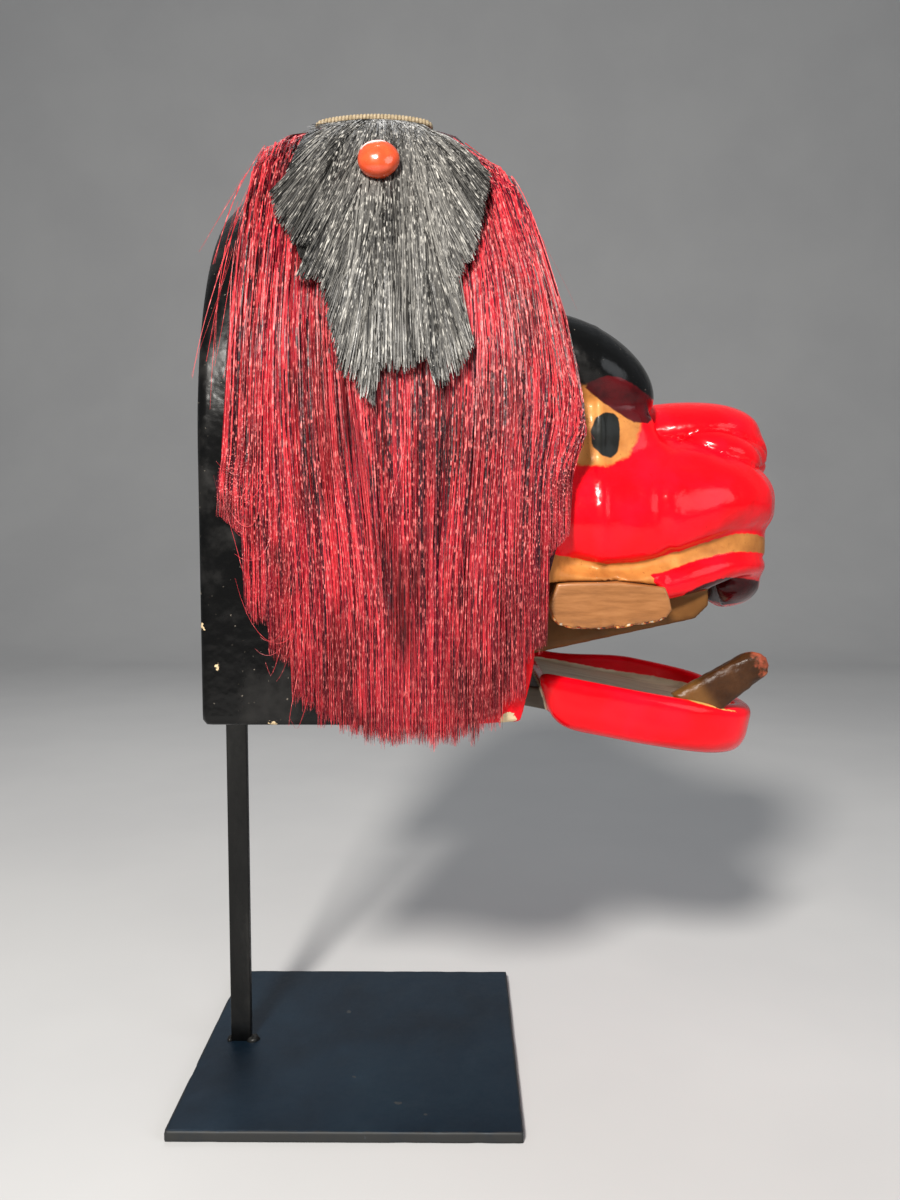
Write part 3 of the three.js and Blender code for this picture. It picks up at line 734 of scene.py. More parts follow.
def make_strays(name, side, seed):
    """Loose hairs that leave the mane at its edges and over its face."""
    r = np.random.default_rng(seed)
    count, rings = STRAY_HAIRS, 14
    t = np.linspace(0, 1, rings)[None, :]
    group = r.integers(0, 4, count)[:, None]
    u0 = np.choose(group, [r.uniform(-0.01, 0.07, (count, 1)), r.uniform(0.92, 1.0, (count, 1)),
                           r.uniform(0.05, 0.3, (count, 1)), r.uniform(0.1, 0.95, (count, 1))])
    start = np.choose(group, [r.uniform(0.2, 0.4, (count, 1)), r.uniform(0.2, 0.5, (count, 1)),
                              r.uniform(0.6, 0.9, (count, 1)), r.uniform(0.2, 0.8, (count, 1))])
    reach = np.choose(group, [0.21, 0.2, 0.22, 0.2]) * r.uniform(0.5, 1.2, (count, 1))
    s = start + reach * t
    lean = np.choose(group, [-0.035, 0.05, -0.07, 0.0]) + r.normal(0, 0.03, (count, 1))
    u = u0 + lean * t ** 1.6
    held = clamp01(u)
    lift = MANE_GAP + mane_body(held, s) + 2 + t * np.abs(r.normal(0, 5, (count, 1))) - 5 * np.maximum(0, s - 0.95)
    points, outs = over_head(side, u, np.minimum(s, 1.06), lift)
    curl = np.sin(3.0 * t + r.uniform(0, 6.28, (count, 1))) * t * r.normal(0, 3.0, (count, 1))
    points[..., 0] += curl
    points[..., 2] = np.maximum(points[..., 2], 229)
    width = r.uniform(0.10, 0.17, (count, 1)) * (1 - 0.6 * t ** 4)
    tint = r.uniform(size=(count, 1)) * 0.6 + 0.4
    roll = r.uniform(-0.8, 0.8, (count, 1)) * np.ones_like(s)
    return ribbons(name, points, outs, width, roll, tint=tint, depth=0.9, place=held, along=s,
                   strand=r.uniform(size=(count, 1)))


def hair_sheet(name, side, us, starts, ends, low, high, rows):
    """A closed sheet under the hairs, so that no gap shows the head; it carries painted shade, dark as deep hair."""
    share = np.linspace(0, 1, rows)[None, :]
    s = lerp(np.asarray(starts)[:, None], np.asarray(ends)[:, None], share)
    u = np.asarray(us)[:, None] * np.ones_like(s)
    top, _ = over_head(side, u, s, high(u, s))
    bottom, _ = over_head(side, u, s, low(u, s))
    cols = len(us)
    grid = np.arange(cols * rows).reshape(cols, rows)
    under = grid + cols * rows
    a = np.stack([grid[:-1, :-1], grid[1:, :-1], grid[1:, 1:], grid[:-1, 1:]], -1).reshape(-1, 4)
    b = np.stack([under[:-1, :-1], under[:-1, 1:], under[1:, 1:], under[1:, :-1]], -1).reshape(-1, 4)
    rim = np.concatenate([grid[:, 0], grid[-1, 1:], grid[-2::-1, -1], grid[0, -2:0:-1]])
    low_rim = rim + cols * rows
    c = np.stack([rim, low_rim, np.roll(low_rim, -1), np.roll(rim, -1)], 1)
    quads = np.concatenate([a, b, c])
    points = np.concatenate([top.reshape(-1, 3), bottom.reshape(-1, 3)])
    obj = new_object(name, points, quads if side < 0 else quads[:, ::-1])
    both = lambda v: np.concatenate([v.ravel(), v.ravel()])
    # Painted shade: the sheet is dark, and darker in the partings.
    shade = both(0.25 * (1 - parting(u, s)))
    set_values(obj, tint=np.full(len(shade), 0.2), depth=shade, place=both(u), along=both(s), strand=both(u))
    return obj


def mane_sheet(name, side):
    share = np.linspace(0, 1, 60)
    ends = np.full(60, 0.935) - 0.01 * np.abs(np.sin(40 * share))
    return hair_sheet(name, side, 0.012 + 0.976 * share, np.full(60, MANE_START), ends,
                      lambda u, s: MANE_GAP * 0.8 + 0 * s,
                      lambda u, s: gathered(u, s, MANE_GAP + 0.45 * mane_body(u, s) + 1) - 1, 60)


# Corners of the locks that overhang others, left out of the sheet under them.
TUFT_OVERHANGS = ((0.253, 0.407), (0.237, 0.427), (0.723, 0.507), (0.70, 0.49), (0.687, 0.477))

# The tuft's outline by place along the band and share of the way down: rear edge, locks, notch, front edge.
TUFT_REAR = [(0.22, 0.006), (0.19, 0.12), (0.16, 0.20), (0.15, 0.26), (0.137, 0.313)]
TUFT_LOCKS = [(0.11, 0.325), (0.137, 0.36), (0.15, 0.367), (0.197, 0.40), (0.253, 0.407), (0.237, 0.427),
              (0.217, 0.443), (0.277, 0.45), (0.307, 0.48), (0.31, 0.503), (0.337, 0.53), (0.34, 0.547), (0.387, 0.56),
              (0.403, 0.573), (0.44, 0.583), (0.447, 0.543), (0.493, 0.547), (0.533, 0.547), (0.563, 0.537),
              (0.597, 0.53), (0.607, 0.55), (0.617, 0.563), (0.68, 0.543), (0.723, 0.507), (0.70, 0.49),
              (0.687, 0.477), (0.67, 0.447), (0.743, 0.397), (0.767, 0.367), (0.81, 0.307), (0.863, 0.25)]
TUFT_FRONT = [(0.847, 0.20), (0.82, 0.143), (0.79, 0.08), (0.77, 0.006)]
TUFT_SPINES = (0.44, 0.60)


def tuft_lift(u, s):
    return MANE_GAP + mane_body(u, s) + 4.2 * swell(s)


def tuft_tips(count, r):
    """Where hairs end: half along the cut edges of the locks, half spread over the tuft."""
    locks = np.array(TUFT_LOCKS)
    run = np.concatenate([[0], np.cumsum(np.hypot(*(np.diff(locks, axis=0) * (160, 350)).T))])
    at = r.uniform(0, run[-1], count // 2)
    edge = np.stack([np.interp(at, run, locks[:, 0]), np.interp(at, run, locks[:, 1])], 1)
    outline = np.array(TUFT_REAR + TUFT_LOCKS + TUFT_FRONT)
    spread = r.uniform((0.11, 0.05), (0.865, 0.585), (8 * count, 2))
    inside = polygon(spread[:, 0], spread[:, 1], outline) < 0
    return np.concatenate([edge, spread[inside][:count - len(edge)]])


def make_tuft(name, side, count, seed):
    r = np.random.default_rng(seed)
    rings = 8
    t = np.linspace(0, 1, rings)[None, :]
    tip_u, tip_s = tuft_tips(count, r).T
    gap = np.where(tip_u < TUFT_SPINES[0], TUFT_SPINES[0] - tip_u, np.minimum(TUFT_SPINES[1] - tip_u, 0))
    steep = np.interp(tip_s, [0.15, 0.30, 0.45, 0.57], [0.5, 0.6, 0.8, 1.6])
    wing = np.abs(gap) > 0
    leaves = tip_s - steep * np.abs(gap)
    back = np.abs(r.normal(0, 0.012, count))
    tip_u = tip_u + np.where(wing, back * np.sign(gap), 0)
    tip_s = tip_s - np.where(wing, steep * back, back)
    reach = r.uniform(0.45, 1.0, count)
    root_u = tip_u + gap * reach + r.normal(0, 0.008, count)
    bend_s = np.where(wing, tip_s - steep * np.abs(gap) * reach, tip_s - 0.08)
    root_s = np.maximum(MANE_START, bend_s - np.where(wing, r.uniform(0.03, 0.2, count), r.uniform(0.05, 0.45, count)))
    root_s = np.minimum(root_s, tip_s - 0.03)
    bend_s = np.maximum(bend_s, root_s + 0.01)
    bezier = lambda a, b, c: ((1 - t) ** 2 * a[:, None] + 2 * t * (1 - t) * b[:, None] + t * t * c[:, None])
    u = bezier(root_u, lerp(root_u, tip_u, 0.1), tip_u)
    s = bezier(root_s, bend_s, tip_s)
    u = u + 0.003 * np.sin(12 * s + r.uniform(0, 6.28, (count, 1)))
    lock = np.where(wing, leaves / 0.07, tip_u / 0.05)
    ridge = np.abs(np.sin(math.pi * (lock + 0.12 * np.sin(3.1 * lock))))[:, None] ** 0.6
    # Painted shade through depth: deep hairs and the gaps between locks are darker; depth also sets the lift.
    depth = r.uniform(0, 1, (count, 1)) ** 0.7 * (0.25 + 0.75 * ridge)
    shingle = np.where(wing, 1.6 * clamp01(1 - leaves / 0.6), 0.6)[:, None]
    lift = tuft_lift(u, s) + (0.5 + 2.4 * depth + shingle) * swell(s)
    lift = lift + r.normal(0, 0.25, (count, 1)) + 1.2 * smooth((t - 0.8) / 0.2) * r.uniform(-0.3, 1, (count, 1))
    lift = gathered(u, s, lift) + 0.5 * smooth((0.1 - s) / 0.05)
    points, outs = over_head(side, u, s, lift)
    width = r.uniform(0.24, 0.40, (count, 1)) * (1 - 0.45 * t ** 6)
    tint = clamp01(r.uniform(size=(count, 1)) + r.normal(0, 0.12, (count, rings)))
    roll = r.normal(0, 0.5, (count, 1)) + r.normal(0, 0.12, (count, rings))
    return ribbons(name, points, outs, width, roll, tint=tint, depth=depth, place=u, along=s,
                   strand=r.uniform(size=(count, 1)))


def tuft_sheet(name, side):
    us = np.linspace(0.135, 0.85, 91)
    top = TUFT_REAR[::-1] + TUFT_FRONT[::-1]
    starts = np.interp(us, *np.array(top).T)
    low = [p for p in TUFT_LOCKS if p not in TUFT_OVERHANGS]
    ends = np.interp(us, *np.array(low).T) - 0.03
    return hair_sheet(name, side, us, starts, np.maximum(ends, starts + 0.01),
                      lambda u, s: gathered(u, s, tuft_lift(u, s) - 0.5 * swell(s)) - 0.8,
                      lambda u, s: gathered(u, s, tuft_lift(u, s) + 0.6 * swell(s)), 40)


def make_bead(name, side):
    u, s = np.array(BEAD_PLACE)[:, None]
    lift = tuft_lift(u, s) + 8
    centre, way = over_head(side, u, s, lift)
    centre, way = centre[0], way[0]
    rows, cols = 26, 40
    a = np.linspace(0, math.pi, rows)[:, None]
    b = np.linspace(0, 2 * math.pi, cols, endpoint=False)[None, :]
    axis = way / np.linalg.norm(way)
    one = np.array([1.0, 0, 0])
    two = np.cross(axis, one)
    radius = BEAD_RADIUS * (1 + 0.012 * np.sin(3 * b + 1) * np.sin(a) + 0.008 * np.cos(5 * b))
    collar = 1 + 0.05 * np.exp(-((a - 2.35) / 0.12) ** 2)
    out = (radius * np.cos(a) * 0.72)[..., None] * axis + (radius * np.sin(a) * collar)[..., None] * (
        np.cos(b)[..., None] * one + np.sin(b)[..., None] * two)
    points = (centre + out).reshape(-1, 3)
    _, quads = tube_faces(rows, cols)
    return new_object(name, points, quads[:, [0, 3, 2, 1]])


def make_band():
    """The sewn tape along the crown: a row of stitched ribs across a soft flat core."""
    n, m = 300, 22
    t = np.linspace(0, 1, n)
    x = lerp(TAPE_MIDDLE_X - TAPE_HALF_LENGTH, TAPE_MIDDLE_X + TAPE_HALF_LENGTH, t)
    z = TAPE_END_Z + TAPE_RISE * (1 - (2 * t - 1) ** 2)
    rib = np.abs(np.sin(math.pi * t * TAPE_RIBS)) ** 0.6
    ends = np.sqrt(np.clip(1 - np.abs(2 * t - 1) ** 14, 0, 1))
    a = np.linspace(0, 2 * math.pi, m, endpoint=False)
    half_w = (7.3 + 0.8 * rib) * ends + 0.05
    half_h = (2.2 + 0.9 * rib) * ends + 0.05
    y = half_w[:, None] * np.sign(np.cos(a)) * np.abs(np.cos(a)) ** 0.7
    up = half_h[:, None] * np.sin(a)[None, :]
    points = np.stack([np.repeat(x[:, None], m, 1), y, z[:, None] + up - 0.9 * (y / 8) ** 2], -1).reshape(-1, 3)
    _, quads = tube_faces(n, m)
    obj = new_object("crown_tape", points, quads[:, ::-1])
    set_values(obj, rib=np.repeat(rib, m))
    return obj


# ---- stand

def rounded_box(name, low, high, radius, step, wobble, seed):
    low, high = np.asarray(low, float), np.asarray(high, float)
    mid, half = (low + high) / 2, (high - low) / 2

    def field(x, y, z):
        q = [np.abs(p - m) - h + radius for p, m, h in zip((x, y, z), mid, half)]
        outer = np.sqrt(sum(np.maximum(p, 0) ** 2 for p in q))
        d = outer + np.minimum(np.maximum.reduce(q), 0) - radius
        return d + wobble * np.maximum(0, ripple(x, y, z, 26, seed))
    lines = [graded((a - 1.5, s), (b + 1.5,)) for a, b, s in zip(low, high, step)]
    points, quads = surface(field, *lines)
    return new_object(name, points, quads)


def make_plate():
    obj = rounded_box("stand_plate_steel", (-PLATE_HALF, -PLATE_HALF, 0), (PLATE_HALF, PLATE_HALF, PLATE_TOP_Z), 0.9,
                      (2.6, 2.6, 0.9), 0.25, 41)
    co = np.array([v.co for v in obj.data.vertices]) / MM
    edge = np.maximum(np.abs(co[:, 0]), np.abs(co[:, 1])) - PLATE_HALF
    set_regions(obj, edge=edge + 1.6)
    return obj


def make_bar():
    """A flat bar with eased edges, bent forward inside the head."""
    top = np.array(BAR_TOP)
    bend = np.array([BAR_X, BAR_BEND_Z])
    path = [(BAR_X, PLATE_TOP_Z)] + [(BAR_X, z) for z in np.linspace(20, BAR_BEND_Z - 6, 40)]
    lean = (top - bend) / np.linalg.norm(top - bend)
    path += [tuple(bend + lean * k) for k in np.linspace(6, np.linalg.norm(top - bend), 14)]
    path = np.array(path)
    along = np.gradient(path, axis=0)
    along /= np.linalg.norm(along, axis=1)[:, None]
    side = np.stack([along[:, 1], -along[:, 0]], 1)
    section = []
    for cx, cy, a0 in ((5.7, 2.2, 0), (-5.7, 2.2, 90), (-5.7, -2.2, 180), (5.7, -2.2, 270)):
        for k in range(4):
            a = math.radians(a0 + 30 * k)
            section.append((cx + 0.8 * math.cos(a), cy + 0.8 * math.sin(a)))
    section = np.array(section)
    n, m = len(path), len(section)
    x = path[:, None, 0] + side[:, None, 0] * section[None, :, 0]
    z = path[:, None, 1] + side[:, None, 1] * section[None, :, 0]
    y = np.repeat(section[None, :, 1], n, 0)
    points = np.stack([x, y, z], -1).reshape(-1, 3)
    grid, quads = tube_faces(n, m)
    caps = [grid[0, [0, k + 1, k]] for k in range(1, m - 1)] + [grid[-1, [0, k, k + 1]] for k in range(1, m - 1)]
    obj = new_object("stand_bar_steel", points, quads, caps)
    set_values(obj, edge=np.full(n * m, -3.0))
    return obj


def make_weld():
    def field(x, y, z):
        a = ellipsoid(x, y, z, (-70.5, -1.0, 6.2), (4.6, 4.2, 3.4))
        b = ellipsoid(x, y, z, (-78, 3.4, 6.2), (7.6, 2.2, 2.2))
        c = ellipsoid(x, y, z, (-85.2, 0, 6.2), (2.2, 3.6, 2.4))
        return smin(smin(a, b, 2), c, 2) + 0.35 * ripple(x, y, z, 4, 51)
    points, quads = surface(field, graded((-90, 0.8), (-63,)), graded((-8, 0.8), (8,)), graded((5.9, 0.7), (11.5,)))
    obj = new_object("stand_weld", points, quads)
    set_values(obj, edge=np.full(len(points), -3.0))
    return obj


# ---- materials

class Paint:
    """A material whose node tree is written as short calls."""

    def __init__(self, name, **sockets):
        self.material = bpy.data.materials.new(name)
        self.material.use_nodes = True
        self.tree = self.material.node_tree
        self.shader = self.tree.nodes["Principled BSDF"]
        self.where = self.node("TexCoord").outputs["Object"]
        for key, value in sockets.items():
            self.shader.inputs[key.replace("_", " ")].default_value = value

    def node(self, kind):
        return self.tree.nodes.new("ShaderNode" + kind)

    def put(self, socket, value):
        if isinstance(value, bpy.types.NodeSocket):
            self.tree.links.new(value, socket)
        else:
            socket.default_value = (*value, 1.0) if isinstance(value, tuple) and len(value) == 3 else value

    def set(self, **values):
        for key, value in values.items():
            self.put(self.shader.inputs[key.replace("_", " ")], value)

    def attr(self, name):
        node = self.node("Attribute")
        node.attribute_name = name
        return node.outputs["Fac"]

    def noise(self, scale, detail=3.0, rough=0.55, where=None, stretch=None):
        where = where or self.where
        if stretch:
            mapping = self.node("Mapping")
            mapping.inputs["Scale"].default_value = stretch
            self.tree.links.new(where, mapping.inputs["Vector"])
            where = mapping.outputs["Vector"]
        node = self.node("TexNoise")
        node.inputs["Scale"].default_value = scale
        node.inputs["Detail"].default_value = detail
        node.inputs["Roughness"].default_value = rough
        self.tree.links.new(where, node.inputs["Vector"])
        return node.outputs["Fac"]

    def math(self, op, a, b=0.0, c=0.0):
        node = self.node("Math")
        node.operation = op
        for socket, value in zip(node.inputs, (a, b, c)):
            self.put(socket, value)
        return node.outputs[0]

    def span(self, value, a, b, to_a=0.0, to_b=1.0):
        node = self.node("MapRange")
        node.interpolation_type = "SMOOTHSTEP"
        for key, v in zip(("Value", "From Min", "From Max", "To Min", "To Max"), (value, a, b, to_a, to_b)):
            self.put(node.inputs[key], v)
        return node.outputs["Result"]

    def mix(self, fac, a, b):
        node = self.node("Mix")
        node.data_type = "RGBA"
        self.put(node.inputs[0], fac)
        self.put(node.inputs[6], a)
        self.put(node.inputs[7], b)
        return node.outputs[2]

    def blend(self, fac, a, b):
        node = self.node("Mix")
        self.put(node.inputs[0], fac)
        self.put(node.inputs[2], a)
        self.put(node.inputs[3], b)
        return node.outputs[0]

    def ramp(self, fac, *stops):
        node = self.node("ValToRGB")
        ramp = node.color_ramp
        while len(ramp.elements) < len(stops):
            ramp.elements.new(0.5)
        for element, (place, colour) in zip(ramp.elements, stops):
            element.position = place
            element.color = (*colour, 1.0)
        self.put(node.inputs[0], fac)
        return node.outputs[0]

    def mottle(self, scale, detail, low, high, a, b):
        """Colour a with clouds of colour b."""
        return self.mix(self.span(self.noise(scale, detail), low, high), a, b)

    def ragged(self, name, scale, detail, gain, shift, low, high):
        """A mask from one of the mesh's distances, frayed by noise."""
        fray = self.math("MULTIPLY_ADD", self.noise(scale, detail), gain, shift)
        return self.span(self.math("ADD", self.attr(name), fray), low, high)

    def brushed(self, name, wander=0.9, width=0.5):
        """A painted region's mask, with a slightly wandering brush edge."""
        return self.ragged(name, 225, 2.0, 2 * wander, -wander, -width, width)

    def pair(self, a, scale_a, b, scale_b):
        """A place for a noise, made from two of the mesh's values."""
        node = self.node("CombineXYZ")
        self.put(node.inputs[0], self.math("MULTIPLY", self.attr(a), scale_a))
        self.put(node.inputs[1], self.math("MULTIPLY", self.attr(b), scale_b))
        return node.outputs[0]

    def bump(self, height, distance, strength=1.0):
        node = self.node("Bump")
        node.inputs["Distance"].default_value = distance
        node.inputs["Strength"].default_value = strength
        self.put(node.inputs["Height"], height)
        self.put(self.shader.inputs["Normal"], node.outputs[0])


def head_paint():
    p = Paint("lacquer", Coat_Weight=0.06, Coat_Roughness=0.12, Specular_IOR_Level=0.2)
    cloud = p.noise(26, 5, 0.62)
    fine = p.noise(210, 4, 0.6)
    scuff = p.span(cloud, 0.47, 0.68)
    black = p.mix(scuff, (0.002, 0.002, 0.002), (0.011, 0.0105, 0.010))
    speck = p.math("GREATER_THAN", p.noise(520, 2, 0.5), 0.735)
    black = p.mix(speck, black, (0.12, 0.105, 0.085))
    red = p.mottle(38, 4, 0.35, 0.7, RED_DEEP, RED_CLEAR)
    red = p.mottle(300, 3, 0.62, 0.8, red, (0.62, 0.001, 0.005))
    gold = p.mottle(60, 5, 0.3, 0.72, (0.34, 0.12, 0.026), (0.53, 0.215, 0.05))
    gold = p.mottle(420, 3, 0.6, 0.8, gold, (0.26, 0.09, 0.018))
    # Very dark red for the brow's underside, and painted shade inside the muzzle and on the beak under the lip.
    wine = p.mottle(70, 4, 0.3, 0.7, (0.025, 0.001, 0.002), (0.075, 0.003, 0.005))
    grain = p.noise(30, 4, 0.6, stretch=(0.6, 6.0, 3.0))
    wood = p.ramp(grain, (0.25, (0.09, 0.045, 0.02)), (0.55, (0.17, 0.095, 0.045)), (0.8, (0.24, 0.145, 0.075)))
    is_red, is_gold, is_wine = p.brushed("red"), p.brushed("gold"), p.brushed("wine")
    is_wood, is_pupil = p.brushed("wood"), p.brushed("pupil", wander=0.5)
    is_chip = p.ragged("chip", 700, 3, 5.0, -2.9, -0.15, 0.15)
    colour = p.mix(is_red, black, red)
    colour = p.mix(is_gold, colour, gold)
    # Painted shade: the tooth ridge, under the board and the roll, is darkened to a dull brown-gold.
    colour = p.mix(p.math("MULTIPLY", p.brushed("ridge"), 0.85), colour, (0.07, 0.028, 0.005))
    colour = p.mix(is_wine, colour, wine)
    colour = p.mix(is_pupil, colour, (0.006, 0.007, 0.006))
    colour = p.mix(is_wood, colour, wood)
    colour = p.mix(is_chip, colour, (0.62, 0.47, 0.28))
    rough = p.blend(scuff, 0.22, 0.42)
    rough = p.blend(is_red, rough, p.span(fine, 0.3, 0.8, 0.14, 0.24))
    rough = p.blend(is_gold, rough, p.span(fine, 0.3, 0.8, 0.42, 0.6))
    rough = p.blend(is_wood, rough, 0.72)
    rough = p.blend(is_chip, rough, 0.8)
    p.set(Base_Color=colour, Roughness=rough, Metallic=p.math("MULTIPLY", is_gold, 0.1))
    height = p.math("MULTIPLY_ADD", p.noise(45, 3), 1.5, p.math("MULTIPLY", fine, 0.12))
    height = p.math("ADD", height, p.math("MULTIPLY", is_chip, -0.5))
    p.bump(height, 0.0011, 0.7)
    return p.material


def jaw_paint():
    p = Paint("jaw_lacquer", Coat_Weight=0.06, Coat_Roughness=0.12, Specular_IOR_Level=0.2)
    fine = p.noise(210, 4, 0.6)
    red = p.mottle(38, 4, 0.35, 0.7, RED_DEEP, RED_CLEAR)
    grain = p.noise(26, 5, 0.65, stretch=(0.35, 7.0, 4.0))
    # Painted sunlight: the jaw's bare wood is far lighter than the head's inner wood, as if lit on the floor and rim of
    # the open mouth.
    wood = p.ramp(grain, (0.25, (0.38, 0.27, 0.16)), (0.5, (0.72, 0.59, 0.41)), (0.78, (0.82, 0.72, 0.54)))
    is_wood = p.brushed("wood")
    is_line = p.brushed("line", wander=0.35, width=0.25)
    colour = p.mix(is_wood, red, wood)
    colour = p.mix(is_line, colour, (0.55, 0.36, 0.10))
    # Painted shade: the tail, seen in the gap behind the cheek, is painted near black.
    colour = p.mix(p.math("MULTIPLY", p.brushed("dark"), 0.9), colour, (0.012, 0.010, 0.009))
    rough = p.blend(is_wood, p.span(fine, 0.3, 0.8, 0.14, 0.24), 0.5)
    p.set(Base_Color=colour, Roughness=rough)
    p.bump(p.math("MULTIPLY_ADD", p.noise(45, 3), 0.8, p.math("MULTIPLY", fine, 0.15)), 0.0009, 0.6)
    return p.material


def fang_paint():
    p = Paint("fang_lacquer", Coat_Weight=0.05, Coat_Roughness=0.3, Specular_IOR_Level=0.2)
    grain = p.noise(60, 5, 0.65, stretch=(1.0, 5.0, 1.0))
    brown = p.ramp(grain, (0.25, (0.022, 0.008, 0.003)), (0.6, (0.05, 0.019, 0.006)), (0.85, (0.09, 0.036, 0.011)))
    worn = p.ragged("arris", 300, 3, 5, -2.7, 0.4, 1.6)
    colour = p.mix(worn, brown, (0.22, 0.095, 0.03))
    tip = p.ragged("tip", 260, 3, 2, -1.3, 0.2, 0.8)
    colour = p.mix(p.math("MULTIPLY", tip, 0.7), colour, (0.34, 0.07, 0.035))
    root = p.span(p.attr("root"), 0.0, 1.4)
    colour = p.mix(p.math("MULTIPLY", root, 0.35), colour, (0.26, 0.12, 0.03))
    p.set(Base_Color=colour, Roughness=p.span(grain, 0.3, 0.8, 0.3, 0.5))
    p.bump(p.math("ADD", grain, p.noise(420, 3)), 0.0007, 0.6)
    return p.material


def tooth_paint():
    p = Paint("tooth_gilding", Coat_Weight=0.1, Coat_Roughness=0.3)
    grain = p.noise(45, 6, 0.66, stretch=(0.9, 4.0, 6.0))
    body = p.ramp(grain, (0.22, (0.16, 0.058, 0.015)), (0.5, (0.27, 0.103, 0.027)), (0.8, (0.36, 0.148, 0.042)))
    flecks = p.noise(330, 3, 0.6)
    bare = p.ramp(flecks, (0.38, (0.02, 0.016, 0.014)), (0.46, (0.55, 0.06, 0.02)), (0.56, (0.60, 0.30, 0.05)),
                  (0.62, (0.62, 0.52, 0.40)))
    worn = p.ragged("edge", 240, 4, 7, -5.4, 0.0, 0.7)
    p.set(Base_Color=p.mix(worn, body, bare), Roughness=p.span(grain, 0.3, 0.8, 0.34, 0.55), Metallic=0.12)
    p.bump(p.math("ADD", p.math("MULTIPLY", grain, 0.35), p.math("MULTIPLY", worn, -1.2)), 0.0009, 0.6)
    return p.material


def hair_paint(name, dark, mid, bright, glint, rough):
    """Hair in streaks and broad patches, with painted shade deep down and painted glints along each strand."""
    p = Paint(name, Specular_IOR_Level=0.3)
    lines = p.noise(1.0, 3, 0.6, where=p.pair("place", 320.0, "along", 7.0))
    tone = p.math("MULTIPLY_ADD", p.attr("tint"), 0.95, p.math("MULTIPLY_ADD", lines, 0.8, -0.36))
    colour = p.ramp(tone, (0.2, dark), (0.46, mid), (0.85, bright))
    broad = p.span(p.noise(1.0, 3, 0.55, where=p.pair("place", 9.0, "along", 6.0)), 0.36, 0.6, 0.45, 1.1)
    # Painted shade: darker where depth is low.
    shade = p.math("MULTIPLY", p.span(p.attr("depth"), 0.0, 0.75, 0.35, 1.0), broad)
    scaled = p.node("VectorMath")
    scaled.operation = "SCALE"
    p.put(scaled.inputs[0], colour)
    p.put(scaled.inputs["Scale"], shade)
    # Painted glints: short bright flecks along each strand, fewer on deep hairs.
    speckle = p.noise(1.0, 2, 0.5, where=p.pair("strand", 3000.0, "along", 85.0))
    spark = p.span(speckle, 0.52, 0.70)
    spark = p.math("MULTIPLY", spark, p.span(p.attr("depth"), 0.2, 0.8, 0.1, 0.9))
    p.set(Base_Color=p.mix(spark, scaled.outputs[0], glint), Roughness=rough)
    p.bump(speckle, 0.0012, 0.6)
    return p.material


def bead_paint():
    p = Paint("coral_bead", Coat_Weight=0.6, Coat_Roughness=0.06)
    colour = p.mottle(160, 4, 0.3, 0.75, (0.58, 0.06, 0.016), (0.68, 0.09, 0.024))
    p.set(Base_Color=colour, Roughness=p.span(p.noise(400, 2), 0.3, 0.8, 0.18, 0.3))
    p.bump(p.noise(240, 3), 0.0004, 0.4)
    return p.material


def tape_paint():
    p = Paint("stitched_tape", Specular_IOR_Level=0.2)
    thread = p.noise(700, 3, 0.6, stretch=(1.0, 0.3, 1.0))
    # Painted shade: the grooves between the ribs are darker.
    groove = p.span(p.attr("rib"), 0.15, 0.75)
    light = p.mix(p.span(thread, 0.35, 0.7), (0.26, 0.20, 0.12), (0.42, 0.34, 0.23))
    p.set(Base_Color=p.mix(groove, (0.10, 0.062, 0.03), light), Roughness=p.span(thread, 0.2, 0.8, 0.75, 0.95))
    p.bump(thread, 0.0006, 0.8)
    return p.material


def steel_paint():
    p = Paint("blued_steel")
    cloud = p.noise(9, 5, 0.6)
    fine = p.noise(160, 4, 0.6)
    colour = p.ramp(cloud, (0.3, (0.005, 0.011, 0.02)), (0.52, (0.008, 0.021, 0.038)), (0.75, (0.012, 0.03, 0.05)))
    wear = p.ragged("edge", 90, 4, 3.0, -1.4, 0.0, 1.6)
    colour = p.mix(wear, colour, (0.035, 0.036, 0.036))
    blot = p.math("GREATER_THAN", p.noise(75, 3, 0.6), 0.73)
    colour = p.mix(blot, colour, (0.05, 0.055, 0.06))
    rough = p.blend(wear, p.span(fine, 0.3, 0.8, 0.36, 0.52), 0.6)
    p.set(Base_Color=colour, Roughness=rough, Metallic=0.55)
    p.bump(fine, 0.0003, 0.35)
    return p.material


def bar_paint():
    p = Paint("bar_steel")
    cloud = p.noise(40, 5, 0.65, stretch=(1.0, 1.0, 0.25))
    fine = p.noise(260, 4, 0.6)
    colour = p.ramp(cloud, (0.3, (0.004, 0.004, 0.004)), (0.55, (0.011, 0.011, 0.0105)), (0.75, (0.04, 0.039, 0.036)))
    p.set(Base_Color=colour, Roughness=p.span(fine, 0.3, 0.8, 0.38, 0.6), Metallic=0.6)
    p.bump(fine, 0.0004, 0.4)
    return p.material


def wood_paint():
    p = Paint("rod_wood")
    grain = p.noise(60, 4, 0.6, stretch=(5.0, 0.6, 5.0))
    colour = p.ramp(grain, (0.25, (0.12, 0.065, 0.03)), (0.75, (0.28, 0.17, 0.085)))
    p.set(Base_Color=colour, Roughness=p.span(grain, 0.2, 0.8, 0.6, 0.8))
    p.bump(grain, 0.0006, 0.6)
    return p.material


def floor_paint():
    p = Paint("floor", Roughness=0.85, Specular_IOR_Level=0.1)
    p.set(Base_Color=p.mottle(3, 4, 0.3, 0.7, (0.50, 0.50, 0.505), (0.53, 0.53, 0.532)))
    return p.material


# ---- assembly


def dress(obj, material, node, body=STILL, stands_in=True):
    """Give a piece its look and body; it stands in for the node's solid or only adds to it."""
    obj.data.materials.clear()
    obj.data.materials.append(material)
    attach(obj, body)
    if stands_in:
        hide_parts(node)


SIDES = (("right", -1, 101), ("left", 1, 202))

